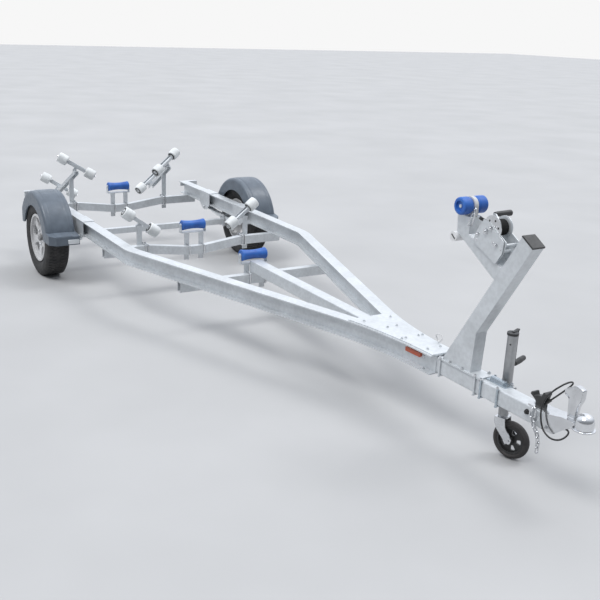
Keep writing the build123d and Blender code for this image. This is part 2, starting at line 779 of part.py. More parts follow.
def bow_roller():
    """Two half rollers on one pin, either side of the lug."""
    bore = keel_pin_r + running_gap
    near, far = bow_lug_half + seat_gap, bow_half
    face = outline([(near, bore, 0), (near, bow_r - 8, 6), (near + 14, bow_r, 10), (far, bow_r, 9),
                    (far, bow_r - 16, 0),
                    (far - 10, bow_r - 18, 0), (far - 10, bore, 0)])
    half = turned(face, (bow_x, 0, bow_z))
    return half + other_side(half)


def bow_strap():
    """White webbing over the lug between the half rollers, with its front end hanging."""
    r0 = bow_lug_r + seat_gap
    r1 = r0 + bow_strap_t
    ring = make_face([ThreePointArc((-r0, 0), (0, r0), (r0, 0)), Line((r0, 0), (r1, 0)),
                      ThreePointArc((r1, 0), (0, r1), (-r1, 0)), Line((-r1, 0), (-r0, 0))])
    w = bow_strap_w / 2
    body = Pos(bow_x, 0, bow_z) * across(ring, -w, w)
    foot = bow_shoulder() + seat_gap
    body += block(bow_x + r0, bow_x + r1, -w, w, foot, bow_z)
    return body + block(bow_x - r1, bow_x - r0, -w, w, foot, bow_z)


def winch_frame():
    """Two side plates hugging the arm, round over the drum, tied by bars."""
    y0 = post_width / 2 + seat_gap
    a, b, c = (3930.0, 1125.0), (4012.0, 1200.0), (4150.0, 1165.0)
    plate = outline([(*a, 8), (*b, 0), (drum_x, drum_z + 10, 0), (*c, 12), (4136, 1112, 8), (4096, 1052, 8)])
    plate += Pos(drum_x, drum_z) * Circle(side_top_r)
    shaft_hole = Pos(drum_x, drum_z) * Circle(drum_core_r - 6 + running_gap)
    body = None
    for s in (-1, 1):
        side = across(plate - shaft_hole, y0 if s > 0 else -y0 - side_t, y0 + side_t if s > 0 else -y0)
        body = side if body is None else body + side
    # tie bars: x, z, radius
    for x, z, r in ((4132.0, 1150.0, 6.0), (4100.0, 1112.0, 7.0), (3950.0, 1132.0, 5.0)):
        body += rod((x, -y0 - 1, z), (x, y0 + 1, z), r)
    return body


def winch_drum():
    """Spool with two flanges on its shaft."""
    core, shaft = drum_core_r, drum_core_r - 6
    end = post_width / 2 + side_t + 6
    face = outline([(-end, 0, 0), (end, 0, 0), (end, shaft, 0), (drum_half + 3, shaft, 0),
                    (drum_half + 3, drum_flange_r, 0),
                    (drum_half, drum_flange_r, 0), (drum_half, core, 0), (-drum_half, core, 0),
                    (-drum_half, drum_flange_r, 0), (-drum_half - 3, drum_flange_r, 0),
                    (-drum_half - 3, shaft, 0),
                    (-end, shaft, 0)])
    return turned(face, (drum_x, 0, drum_z))


def drum_strap():
    """Black strap wound on the spool."""
    r0, w = drum_core_r + seat_gap, drum_half - 2
    face = outline([(-w, r0, 0), (w, r0, 0), (w, drum_coil_r, 4), (-w, drum_coil_r, 4)])
    return turned(face, (drum_x, 0, drum_z))


def winch_handle():
    """Crank on the far side: shaft, flat arm and turned grip."""
    y0 = post_width / 2 + seat_gap + side_t
    d = Vector(grip_x - crank_x, 0, grip_z - crank_z)
    n = Vector(-d.Z, 0, d.X).normalized() * 12
    arm = outline([(crank_x + n.X, crank_z + n.Z, 0), (crank_x - n.X, crank_z - n.Z, 0),
                   (grip_x - n.X, grip_z - n.Z, 8), (grip_x + n.X, grip_z + n.Z, 8)])
    body = across(arm, y0 + 8, y0 + 14) + rod((crank_x, y0, crank_z), (crank_x, y0 + 18, crank_z), 9)
    body += rod((crank_x, y0 + 6, crank_z), (crank_x, y0 + 16, crank_z), 13)
    return body + rod((grip_x, y0 + 10, grip_z), (grip_x, y0 + 14 + grip_len, grip_z), 6)


def winch_grip():
    y0 = post_width / 2 + seat_gap + side_t + 14 + seat_gap
    end = y0 + grip_len
    face = outline([(y0, 6.1, 0), (y0, grip_r - 3, 2), (y0 + 20, grip_r - 1, 12), (end, grip_r + 1, 6),
                    (end, 6.1, 0)])
    return turned(face, (grip_x, 0, grip_z))


def coupling():
    """Tail plate on the drawbar, tapering hollow body, ball socket with its dome and brim."""
    x0, h, t = drawbar_front_x + seat_gap, coupling_half, coupling_wall
    top = drawbar_z1 + tail_t
    side = outline([(x0, drawbar_z0 + 4, 0), (4556, drawbar_z0 + 6, 24), (4640, brim_z, 10),
                    (4660, top + 6, 0),
                    (4644, top + lever_step, 5), (4588, top + lever_step, 8), (4520, top, 20), (x0, top, 0)])
    plan = outline([(x0 - 1, -h, 0), (4560, -h, 20), (4662, -30, 0), (4662, 30, 0), (4560, h, 20),
                    (x0 - 1, h, 0)])
    body = across(side, -h, h) & upright(plan, 300, 700)
    low = outline([(x0 - 1, drawbar_z0 - 20, 0), (4546, drawbar_z0 - 20, 0), (4630, brim_z - 6, 8),
                   (4630, top - t - 4, 8),
                   (x0 - 1, top - t, 0)])
    core = outline([(x0 - 1, -h + t, 0), (4558, -h + t, 20), (4632, -22, 0), (4632, 22, 0), (4558, h - t, 20),
                    (x0 - 1, h - t, 0)])
    body -= across(low, -h, h) & upright(core, 300, 700)
    body += block(drawbar_front_x - 96, x0 + 1, -half_bar + 4, half_bar - 4, drawbar_z1, top)
    dome = outline([(0, brim_z, 0), (brim_r, brim_z, 3), (brim_r, brim_z + brim_t, 3),
                    (dome_r, brim_z + brim_t, 0),
                    (dome_r, socket_z + 16, 18), (dome_r - 20, socket_z + dome_r + 8, 18),
                    (0, socket_z + dome_r + 10, 0)])
    body += Pos(ball_x, 0, 0) * revolve(Plane.XZ * dome, axis=Axis.Z)
    body -= Pos(ball_x, 0, socket_z) * Sphere(socket_r)
    return body - rod((ball_x, 0, brim_z - 10), (ball_x, 0, socket_z), socket_r)


def coupling_lever():
    """Upright locking lever behind the dome."""
    seat = drawbar_z1 + tail_t + lever_step + seat_gap
    face = outline([(4598, seat, 4), (4636, seat, 4), (4642, 560, 20), (4660, 600, 16), (4662, 646, 12),
                    (4622, 656, 14),
                    (4596, 640, 20), (4566, 622, 12), (4566, 598, 12), (4590, 590, 14)])
    return across(face, -13, 13)


def plug_holder():
    """Rubber cup on the coupling's tail that the plug stands in, and the grommet in the drawbar's mouth."""
    z = drawbar_z1 + tail_t + seat_gap
    cup = block(plug_foot - 20, plug_foot + 20, -plug_half + 2, plug_half - 2, z, z + cup_h)
    side = drawbar_size - 2 * drawbar_wall - 2 * seat_gap
    face = Pos(0, drawbar_z0 + half_bar) * RectangleRounded(side, side, drawbar_corner - drawbar_wall + 1)
    return cup + along(face, drawbar_front_x - 10, drawbar_front_x - 1)


def trailer_plug():
    """Plug standing on its narrow end, its guide walls up, its tail pointing forward to the cable."""
    x, z = plug_foot, drawbar_z1 + tail_t + cup_h + 2 * seat_gap
    face = outline([(x - 16, z, 3), (x + 16, z, 3), (x + 24, z + 20, 8), (x + 36, z + 54, 4),
                    (x + 26, z + 62, 4),
                    (x + 18, z + 58, 0), (x + 12, z + 40, 3), (x - 34, z + 24, 3), (x - 40, z + 40, 0),
                    (x - 50, z + 40, 4), (x - 54, z + 28, 4), (x - 24, z + 10, 10)])
    tail, first = Vector(*cable_route[-1]), Vector(*cable_route[-2])
    d = (tail - first).normalized()
    return across(face, -plug_half, plug_half) + rod(tail, (tail + d * 26), cable_d / 2 + 3.5)


# The cable's route: x, y, z. Out of the grommet, under the coupling's side, down in a loop beside it,
# up over the lever's horn and back down to the plug's tail
cable_route = [(4489.0, -6.0, 436.0), (4524.0, -6.0, 436.0), (4562.0, -8.0, 440.0), (4598.0, -14.0, 446.0),
               (4630.0, -26.0, 450.0), (4646.0, -50.0, 443.0), (4636.0, -70.0, 424.0), (4604.0, -72.0, 406.0),
               (4562.0, -66.0, 398.0), (4522.0, -62.0, 412.0), (4500.0, -60.0, 446.0), (4490.0, -58.0, 488.0),
               (4486.0, -48.0, 528.0), (4498.0, -38.0, 566.0), (4526.0, -32.0, 602.0), (4554.0, -30.0, 630.0),
               (4574.0, -20.0, 650.0), (4579.0, 10.0, 654.0), (4568.0, 33.0, 636.0), (4544.0, 40.0, 608.0),
               (4518.0, 34.0, 578.0), (4496.0, 22.0, 550.0), (4476.0, 12.0, 526.0)]


def cable_radii():
    """Each corner's radius: as large as its two runs allow."""
    points = [Vector(*p) for p in cable_route]
    radii = []
    for a, b, c in zip(points, points[1:], points[2:]):
        half_turn = radians((b - a).get_angle(c - b) / 2)
        radii.append(0.45 * min((b - a).length, (c - b).length) / tan(half_turn))
    return radii


def trailer_cable():
    line = FilletPolyline(*cable_route, radius=cable_radii())
    start = Plane(origin=line @ 0, z_dir=line % 0)
    return sweep(start * Circle(cable_d / 2), path=line)


def chain_link(inner, gap, wire):
    """A closed link lying in its own XY plane, its length along X."""
    r = (gap + wire) / 2
    h = (inner - gap) / 2
    path = Wire([Line((0, -r), (h, -r)), ThreePointArc((h, -r), (h + r, 0), (h, r)), Line((h, r), (-h, r)),
                 ThreePointArc((-h, r), (-h - r, 0), (-h, -r)), Line((-h, -r), (0, -r))])
    return sweep(Plane(origin=(0, -r, 0), z_dir=(1, 0, 0)) * Circle(wire / 2), path=path)


def safety_chain():
    """Bolt in the drawbar's near side, the ring on it, and the short chain that hangs from the ring."""
    y0, x, z = -half_bar - seat_gap, chain_bolt_x, chain_bolt_z
    ring_y = y0 - link_gap / 2 - link_wire
    head_y = ring_y - ring_wire
    bolt = rod((x, y0, z), (x, head_y, z), 6) + rod((x, head_y, z), (x, head_y - 6, z), 10)
    ring_z = z + 6 + seat_gap - ring_inner / 2
    ring_at = Plane((x, ring_y, ring_z), x_dir=(0, 0, 1), z_dir=(0, 1, 0))
    ring = ring_at * chain_link(ring_inner, ring_gap, ring_wire)
    pieces = [ring, bolt]
    p = Vector(x, ring_y, ring_z - ring_inner / 2 + seat_gap)
    # direction of each link in turn
    ways = [(0.35, -0.08, -1.0), (0.62, -0.08, -0.8), (0.7, -0.05, -0.72), (0.5, 0.0, -0.85),
            (0.2, 0.0, -1.0),
            (0.0, 0.0, -1.0), (0.0, 0.0, -1.0)]
    for k, way in enumerate(ways):
        d = Vector(way).normalized()
        side = d.cross(Vector(0, 1, 0)).normalized()
        flat = side if k % 2 == 0 else d.cross(side)
        frame = Plane(origin=p + d * (link_inner / 2), x_dir=d, z_dir=flat)
        pieces.append(frame * chain_link(link_inner, link_gap, link_wire))
        p = p + d * (link_inner - seat_gap)
    return pieces


def jockey_bracket():
    """Clamp plate on the drawbar's far side, folded over its top, with the boss and pin of the swing."""
    x0, x1, t = foot_front_x + 2, jockey_x + 83, 6.0
    body = block(x0, x1, half_bar, half_bar + t, drawbar_z0 + 4, drawbar_z1 + t)
    body += block(x0, x1, -6, half_bar + t, drawbar_z1, drawbar_z1 + t)
    ridge = outline([(-4, drawbar_z1 + t - 1, 0), (30, drawbar_z1 + t - 1, 0), (24, drawbar_z1 + 24, 7),
                     (4, drawbar_z1 + 24, 7)])
    body += along(ridge, x0 + 22, x1 - 22)
    body += rod((jockey_x, half_bar + 1, swing_z), (jockey_x, half_bar + boss_len, swing_z), 30)
    body += rod((jockey_x, half_bar + 1, swing_z), (jockey_x, half_bar + boss_len + 4.5, swing_z),
                swing_pin_r)
    for x in (x0 + 7, x1 - 10):
        body += ubolt(x)
    return body


def ubolt(x):
    """Square bolt round the drawbar, seated against its sides and underside."""
    r = bolt_r
    s, lo, hi = half_bar + r + seat_gap, drawbar_z0 - r - seat_gap, drawbar_z1 + 16
    body = rod((x, -s, lo - r), (x, -s, hi), r) + rod((x, s, lo - r), (x, s, hi), r)
    return body + rod((x, -s - r, lo), (x, s + r, lo), r)


def jockey_tube():
    """Outer tube with its top cap and the plate that turns on the bracket's pin."""
    r, w = jockey_tube_r, jockey_tube_wall
    low = crown_z + crown_gap
    c = (jockey_x, jockey_y)
    body = rod((*c, low), (*c, jockey_top), r)
    plate_y0, plate_y1 = half_bar + boss_len + seat_gap, half_bar + boss_len + 5
    ear_x, ear_z = jockey_x + latch_x, swing_z + latch_z
    plate = rod((jockey_x, plate_y0, swing_z), (jockey_x, plate_y1, swing_z), 34)
    ear = outline([(jockey_x, swing_z - 24, 0), (ear_x + 12, ear_z - 12, 10), (ear_x + 12, ear_z + 12, 10),
                   (jockey_x, swing_z + 32, 0)])
    plate += across(ear, plate_y0, plate_y1) + rod((ear_x, plate_y0, ear_z), (ear_x, plate_y1 + 34, ear_z), 7)
    plate += block(jockey_x - 15, jockey_x + 15, plate_y1 - 1, jockey_y - r + 4, swing_z - 30, swing_z + 30)
    body += plate
    body -= rod((*c, low - 1), (*c, jockey_top - 8), r - w)
    return body - rod((jockey_x, plate_y0 - 1, swing_z), (jockey_x, plate_y1, swing_z),
                      swing_pin_r + running_gap)


def jockey_crank():
    """Cap on the tube with the crank folded down beside it and its grip."""
    top = jockey_top + seat_gap
    body = rod((0, 0, top), (0, 0, top + 12), 28)
    body += block(0, crank_reach + 6, -7, 7, top + 8, top + 15)
    body += rod((crank_reach, 0, crank_grip_z), (crank_reach, 0, top + 12), 6)
    body += rod((crank_reach - 4, 0, crank_grip_z), (crank_reach + 6, 0, crank_grip_z), 9)
    grip = outline([(crank_reach + 5, 0, 0), (crank_reach + 5, 12, 3), (crank_reach + 60, 15, 30),
                    (crank_reach + crank_grip_len, 13, 6), (crank_reach + crank_grip_len, 0, 0)])
    body += Pos(0, 0, crank_grip_z) * revolve(Plane.XZ * grip, axis=Axis.X)
    a = radians(crank_yaw)
    return Plane((jockey_x, jockey_y, 0), x_dir=(cos(a), sin(a), 0), z_dir=(0, 0, 1)) * body


def jockey_leg():
    """Inner tube that slides in the outer one, with the swivel pin and its head."""
    r = jockey_tube_r - jockey_tube_wall - running_gap
    c = (jockey_x, jockey_y)
    z0 = crown_z + seat_gap
    body = rod((*c, z0), (*c, z0 + leg_len), r) + rod((*c, crown_z - crown_t - 6), (*c, z0 + 1), swivel_pin_r)
    return body + rod((*c, crown_z - crown_t - 6), (*c, crown_z - crown_t - seat_gap), 17)


# The caster's own frame: x along the trail, y to its left, origin on the swivel axis at floor height
caster = Plane((jockey_x, jockey_y, 0), x_dir=(cos(radians(caster_yaw)), sin(radians(caster_yaw)), 0),
               z_dir=(0, 0, 1))


def jockey_fork():
    """Crown plate and two curved side plates down to the axle."""
    h, t, w = fork_half, fork_t, 28.0
    wz = jockey_wheel_z
    crown = block(-w, w, -h, h, crown_z - crown_t, crown_z)
    crown -= rod((0, 0, crown_z - 20), (0, 0, crown_z + 5), swivel_pin_r + running_gap)
    cheek = outline([(-w, crown_z, 0), (w, crown_z, 0), (w + 6, crown_z - 44, 40), (trail + 15, wz + 10, 12),
                     (trail + 8, wz - 16, 12), (trail - 14, wz - 14, 12), (-10, wz + 44, 50),
                     (-w, crown_z - 30, 30)])
    body = crown + across(cheek, h - t, h) + across(cheek, -h, -h + t)
    body += rod((trail, -h - 8, wz), (trail, h + 8, wz), jockey_axle_r)
    return caster * body


def jockey_rim():
    """Moulded wheel centre with windows."""
    bore = jockey_axle_r + running_gap
    hub_half, rim_in, rim_out = fork_half - fork_t - 1.5, 60.0, 70.0
    face = outline([(-hub_half, bore, 0), (-hub_half, 18, 2), (-5, 20, 0), (-5, rim_in, 0), (-18, rim_in, 0),
                    (-18, rim_out, 0),
                    (18, rim_out, 0), (18, rim_in, 0), (5, rim_in, 0), (5, 20, 0), (hub_half, 18, 2),
                    (hub_half, bore, 0)])
    body = turned(face, (0, 0, 0))
    window = outline([(28, -7, 4), (53, -15, 6), (53, 15, 6), (28, 7, 4)])
    for k in range(5):
        body -= across(Rot(0, 0, 72 * k) * window, -20, 20)
    return caster * (Pos(trail, 0, jockey_wheel_z) * body)


def jockey_tyre():
    m, inner = jockey_wheel_w / 2, 70.0 + seat_gap
    r = jockey_wheel_r
    edges = [Line((-m + 5, inner), (m - 5, inner)),
             ThreePointArc((m - 5, inner), (m, (inner + r) / 2 - 2), (m - 7, r - 7)),
             ThreePointArc((m - 7, r - 7), (0, r), (-m + 7, r - 7)),
             ThreePointArc((-m + 7, r - 7), (-m, (inner + r) / 2 - 2), (-m + 5, inner))]
    return caster * turned(make_face(edges), (trail, 0, jockey_wheel_z))


def build():
    """Every piece of the trailer, level, by node name."""
    parts = {"nose_plate": nose_plate(), "drawbar": drawbar(), "axle": axle()}
    for side, shape in sides(rail()).items():
        parts["rail_" + side] = shape
    edge = rail_edge(0)
    rear, front = member(rear_member_x, edge, member_drop), member(front_member_x, edge, member_drop)
    parts["cross_members"] = Compound([rear, front])
    parts["cross_nose"] = cross_nose()
    brackets = None
    for name, x, z, underside in keel_rows:
        piece = keel_bracket(x, z, underside)
        brackets = piece if brackets is None else brackets + piece
        parts["keel_roller_" + name] = keel_roller(x, z)
    parts["keel_brackets"] = brackets
    channels = []
    for name in twins:
        channels += sides(twin_channel(name)).values()
        for side, shape in sides(twin_rollers(name)).items():
            parts["rollers_" + name + "_" + side] = shape
    parts["twin_channels"] = Compound(channels)
    parts["cradles_front"] = front_cradle() + other_side(front_cradle())
    parts["cradles_rear"] = rear_cradle() + other_side(rear_cradle())
    for name, shape in (("rim", rim()), ("tyre", tyre()), ("hub", hub()),
                        ("mudguard", mudguard())):
        for side, piece in sides(shape).items():
            parts[name + "_" + side] = piece
    for name, shape in (("leaf_springs", leaf_spring()), ("spring_clamps", spring_clamp()),
                        ("spring_hangers", hanger(-spring_half) + hanger(spring_half)),
                        ("guard_stays", guard_stays()), ("guard_lamps", guard_lamp()),
                        ("side_lamps", side_lamp()),
                        ("light_brackets", light_bracket())):
        parts[name] = shape + other_side(shape)
    for name, make in (("winch_post", winch_post), ("post_cap", post_cap), ("bow_arm", bow_arm),
                       ("bow_keeper", bow_keeper),
                       ("bow_roller", bow_roller), ("bow_strap", bow_strap), ("winch_frame", winch_frame),
                       ("winch_drum", winch_drum), ("drum_strap", drum_strap), ("winch_handle", winch_handle),
                       ("winch_grip", winch_grip), ("coupling", coupling), ("coupling_lever", coupling_lever),
                       ("plug_holder", plug_holder), ("trailer_plug", trailer_plug),
                       ("trailer_cable", trailer_cable),
                       ("jockey_bracket", jockey_bracket), ("jockey_tube", jockey_tube),
                       ("jockey_crank", jockey_crank), ("jockey_leg", jockey_leg),
                       ("jockey_fork", jockey_fork),
                       ("jockey_rim", jockey_rim), ("jockey_tyre", jockey_tyre)):
        parts[name] = make()
    parts["safety_chain"] = Compound(safety_chain())
    return parts


# Pieces of the free cable
cord_nodes = ("trailer_cable", "trailer_plug")


# Nose-down turn that brings the jockey wheel to the floor
wheel_dx = jockey_x + trail * cos(radians(caster_yaw))
wheel_dz = jockey_wheel_z - tyre_r
reach = hypot(wheel_dx, wheel_dz)
nose_down = degrees(atan2(wheel_dz, wheel_dx) + asin((tyre_r - jockey_wheel_r) / reach))
turn = Pos(0, 0, tyre_r) * Rot(0, nose_down, 0) * Pos(0, 0, -tyre_r)
level = build()
boxes = [(turn * shape).bounding_box() for node, shape in level.items() if node not in cord_nodes]
shift_x = -round((min(b.min.X for b in boxes) + max(b.max.X for b in boxes)) / 2)
standing = Pos(shift_x, 0, 0) * turn


def place(x, y, z):
    """Where a point of the level chassis stands on the parked trailer."""
    return (standing * Pos(x, y, z)).position


for node, shape in level.items():
    export_step(standing * shape, "parts/" + node + ".step")

print("nose down %.4f degrees, moved %.0f mm" % (nose_down, shift_x))
for name, point in (("wheel centre", (0, wheel_y, tyre_r)), ("jockey swing", (jockey_x, jockey_y, swing_z)),
                    ("jockey crown", (jockey_x, jockey_y, crown_z)), ("ball", (ball_x, 0, socket_z)),
                    ("jockey wheel", (wheel_dx, jockey_y + trail * sin(radians(caster_yaw)), jockey_wheel_z)),
                    ("bow roller", (bow_x, 0, bow_z))):
    p = place(*point)
    print("%s %.3f %.3f %.3f" % (name, p.X, p.Y, p.Z))
for name, x, z, underside in keel_rows:
    p = place(x, 0, z)
    print("keel roller %s %.3f %.3f %.3f" % (name, p.X, p.Y, p.Z))
for name in twins:
    frame, reach = twin_frame(name)
    p = place(*frame.origin)
    d = place(*(frame.origin + frame.x_dir)) - p
    print("twin %s %.3f %.3f %.3f" % (name, p.X, p.Y, p.Z), "axis %.5f %.5f %.5f" % (d.X, d.Y, d.Z))

cable = level["trailer_cable"]
cable_len = sum(edge.length for edge in FilletPolyline(*cable_route, radius=cable_radii()).edges())
print("cable length %.0f, volume %.0f, section times length %.0f" %
      (cable_len, cable.volume, cable_len * Circle(cable_d / 2).area))
print("cable radii", [round(r) for r in cable_radii()])
overall = [min(b.min.X for b in boxes) + shift_x, max(b.max.X for b in boxes) + shift_x,
           min(b.min.Z for b in boxes), max(b.max.Z for b in boxes)]
print("overall", [round(v, 1) for v in overall])
for name, point in (("light hole", (rail_rear_x - 22, rail_y + rail_w / 2 + 70, rail_top - 2)),
                    ("light hole in", (rail_rear_x - 22, rail_y + rail_w / 2 + 30, rail_top - 2))):
    p = place(*point)
    print("%s %.3f %.3f %.3f" % (name, p.X, p.Y, p.Z))
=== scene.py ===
import json
from math import atan2, cos, degrees, pi, radians, sin, sqrt

import bmesh
import bpy
from mathutils import Matrix, Vector


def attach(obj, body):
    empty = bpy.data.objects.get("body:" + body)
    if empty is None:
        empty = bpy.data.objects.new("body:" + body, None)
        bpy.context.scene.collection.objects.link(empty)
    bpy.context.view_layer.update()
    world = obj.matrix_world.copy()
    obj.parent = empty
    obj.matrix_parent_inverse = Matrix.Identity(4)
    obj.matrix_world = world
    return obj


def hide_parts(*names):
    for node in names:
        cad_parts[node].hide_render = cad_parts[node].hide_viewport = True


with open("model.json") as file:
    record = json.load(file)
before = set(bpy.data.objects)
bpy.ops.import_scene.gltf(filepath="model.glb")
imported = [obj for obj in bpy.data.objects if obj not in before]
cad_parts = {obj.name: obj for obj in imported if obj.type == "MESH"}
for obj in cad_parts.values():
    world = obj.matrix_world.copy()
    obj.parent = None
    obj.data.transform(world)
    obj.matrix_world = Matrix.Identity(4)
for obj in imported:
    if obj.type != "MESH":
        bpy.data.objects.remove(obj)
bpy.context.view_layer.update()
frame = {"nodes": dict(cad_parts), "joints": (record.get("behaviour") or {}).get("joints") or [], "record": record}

# The trailer was drawn level, in millimetres, with the axle over x = 0 and the wheels on z = 0,
# and it stands nose down. The wheel's and the jockey's joints say how it was turned and moved.
MM = 0.001
joints = {j["name"]: j for j in frame["joints"]}
wheel_at = Vector(joints["wheel_spin_left"]["pos_m"])
jockey_up = Vector(joints["jockey_wind"]["axis"])
TYRE_R = wheel_at.z
WHEEL_Y = wheel_at.y
turn = Matrix.Rotation(atan2(jockey_up.x, jockey_up.z), 4, "Y")
axle_mid = Vector((wheel_at.x, 0.0, TYRE_R))
standing = Matrix.Translation(axle_mid) @ turn @ Matrix.Translation((0.0, 0.0, -TYRE_R))


def at(x, y, z):
    """A point of the level trailer, in millimetres, where it stands in the frame."""
    return standing @ Vector((x * MM, y * MM, z * MM))


def way(x, y, z):
    """A direction of the level trailer, in the frame."""
    return (turn.to_3x3() @ Vector((x, y, z))).normalized()


def both(rows):
    """Rows that start x, y, z, and the same rows on the other side of the centre line."""
    return [(x, s * y, z, *rest) for x, y, z, *rest in rows for s in (1, -1)]


SIDES = (("left", 1), ("right", -1))
UP, DOWN, NEAR = (0, 0, 1), (0, 0, -1), (0, -1, 0)

# Camera
CAM_YAW = radians(147.69)
CAM_PITCH = radians(17.86)
CAM_ROLL = radians(2.69)
CAM_PLACE = (7000.3, -2915.8, 2126.4)
CAM_LENS = 54.59
SENSOR = 36.0


def add_camera():
    """The photo's camera, as fitted to its lines."""
    cp, sp, cy, sy = cos(CAM_PITCH), sin(CAM_PITCH), cos(CAM_YAW), sin(CAM_YAW)
    ahead = Vector((cp * cy, cp * sy, -sp))
    level_right = Vector((sy, -cy, 0.0))
    level_up = level_right.cross(ahead)
    right = level_right * cos(CAM_ROLL) + level_up * sin(CAM_ROLL)
    up = level_up * cos(CAM_ROLL) - level_right * sin(CAM_ROLL)
    rot = Matrix((right, up, -ahead)).transposed()
    data = bpy.data.cameras.new("camera")
    data.lens = CAM_LENS
    data.sensor_width = SENSOR
    data.sensor_fit = "HORIZONTAL"
    data.clip_end = 200.0
    camera = bpy.data.objects.new("camera", data)
    bpy.context.scene.collection.objects.link(camera)
    camera.matrix_world = Matrix.Translation(at(*CAM_PLACE)) @ (turn.to_3x3() @ rot).to_4x4()
    bpy.context.scene.camera = camera


add_camera()


# Materials. A finish is a table of colours and grain; every pattern reads Object coordinates.
def shader(name, rough, metallic=0.0, coat=0.0):
    """A new material with its Principled shader and its object coordinates."""
    mat = bpy.data.materials.new(name)
    mat.use_nodes = True
    nodes, links = mat.node_tree.nodes, mat.node_tree.links
    bsdf = nodes["Principled BSDF"]
    bsdf.inputs["Metallic"].default_value = metallic
    bsdf.inputs["Roughness"].default_value = rough
    bsdf.inputs["Coat Weight"].default_value = coat
    coords = nodes.new("ShaderNodeTexCoord").outputs["Object"]
    return mat, nodes, links, bsdf, coords


def ramp(nodes, links, value, stops):
    """A colour ramp on a value. Each stop: place, colour."""
    node = nodes.new("ShaderNodeValToRGB")
    links.new(value, node.inputs["Fac"])
    elements = node.color_ramp.elements
    elements[0].position, elements[-1].position = stops[0][0], stops[-1][0]
    for place, colour in stops[1:-1]:
        elements.new(place)
    for element, (place, colour) in zip(elements, stops):
        element.position = place
        element.color = (*colour, 1.0)
    return node.outputs["Color"]


def noise(nodes, links, coords, scale, detail):
    """A cloudy pattern."""
    tex = nodes.new("ShaderNodeTexNoise")
    tex.inputs["Scale"].default_value = scale
    tex.inputs["Detail"].default_value = detail
    links.new(coords, tex.inputs["Vector"])
    return tex.outputs["Fac"]


def clouds(nodes, links, coords, scale, detail, stops):
    """A colour ramp on a noise."""
    return ramp(nodes, links, noise(nodes, links, coords, scale, detail), stops)


def bands(nodes, links, coords, axis, scale):
    """Even waves across one axis."""
    wave = nodes.new("ShaderNodeTexWave")
    wave.bands_direction = axis
    wave.inputs["Scale"].default_value = scale
    links.new(coords, wave.inputs["Vector"])
    return wave.outputs["Fac"]


# the Mix node's colour sockets, which share their names with its other ones
MIX_A, MIX_B, MIX_RESULT = 6, 7, 2


def multiplied(nodes, links, a, b):
    """The product of two colours."""
    node = nodes.new("ShaderNodeMix")
    node.data_type = "RGBA"
    node.blend_type = "MULTIPLY"
    node.inputs["Factor"].default_value = 1.0
    links.new(a, node.inputs[MIX_A])
    links.new(b, node.inputs[MIX_B])
    return node.outputs[MIX_RESULT]


def bump(nodes, links, bsdf, height, strength, depth):
    """Give a shader a relief."""
    node = nodes.new("ShaderNodeBump")
    node.inputs["Strength"].default_value = strength
    node.inputs["Distance"].default_value = depth
    links.new(height, node.inputs["Height"])
    links.new(node.outputs["Normal"], bsdf.inputs["Normal"])


def grey(v, tint=(1.0, 1.0, 1.0)):
    """A grey of a brightness, perhaps a little tinted."""
    return tuple(v * t for t in tint)


def galvanised(name, light, dark, spangle, rough, metallic, tint=(0.985, 1.0, 1.02)):
    """Zinc with cloudy patches, a soft spangle and uneven gloss."""
    mat, nodes, links, bsdf, coords = shader(name, rough, metallic)
    patches = clouds(nodes, links, coords, 7.0, 2.0, [(0.35, grey(dark, tint)), (0.65, grey(light, tint))])
    crystals = clouds(nodes, links, coords, 48.0, 1.0, [(0.35, grey(1.0 - spangle)), (0.65, grey(1.0))])
    links.new(multiplied(nodes, links, patches, crystals), bsdf.inputs["Base Color"])
    gloss = clouds(nodes, links, coords, 24.0, 1.0, [(0.3, grey(rough - 0.05)), (0.7, grey(rough + 0.06))])
    links.new(gloss, bsdf.inputs["Roughness"])
    bump(nodes, links, bsdf, noise(nodes, links, coords, 160.0, 3.0), 0.12, 0.001)
    return mat


def moulded(name, colour, dark, rough, grain=420.0, strength=0.15, coat=0.0):
    """Plastic or rubber with a fine grain and faint scuffs."""
    mat, nodes, links, bsdf, coords = shader(name, rough, 0.0, coat)
    patches = clouds(nodes, links, coords, 16.0, 6.0, [(0.35, dark), (0.7, colour)])
    links.new(patches, bsdf.inputs["Base Color"])
    scuffs = clouds(nodes, links, coords, 60.0, 4.0, [(0.3, grey(rough - 0.08)), (0.75, grey(rough + 0.12))])
    links.new(scuffs, bsdf.inputs["Roughness"])
    bump(nodes, links, bsdf, noise(nodes, links, coords, grain, 2.0), strength, 0.0006)
    return mat


# turn of a wave pattern over one metre, at scale 1
WAVE_TURN = 20.0


def woven(name, colour, dark, pitch=0.0022):
    """Webbing: two crossed wave patterns as its weave."""
    mat, nodes, links, bsdf, coords = shader(name, 0.85)
    bsdf.inputs["Specular IOR Level"].default_value = 0.2
    waves = [bands(nodes, links, coords, axis, pi / pitch / WAVE_TURN) for axis in ("Y", "Z")]
    cross = nodes.new("ShaderNodeMath")
    cross.operation = "MULTIPLY"
    links.new(waves[0], cross.inputs[0])
    links.new(waves[1], cross.inputs[1])
    links.new(ramp(nodes, links, cross.outputs[0], [(0.0, dark), (0.7, colour)]), bsdf.inputs["Base Color"])
    bump(nodes, links, bsdf, cross.outputs[0], 0.5, 0.0006)
    return mat


def lens(name, colour, inner):
    """Ribbed lamp lens: a glossy coat over a coloured moulding."""
    mat, nodes, links, bsdf, coords = shader(name, 0.12, 0.0, 0.6)
    ribs = bands(nodes, links, coords, "Z", 60.0)
    links.new(ramp(nodes, links, ribs, [(0.2, inner), (0.8, colour)]), bsdf.inputs["Base Color"])
    bump(nodes, links, bsdf, ribs, 0.4, 0.001)
    return mat


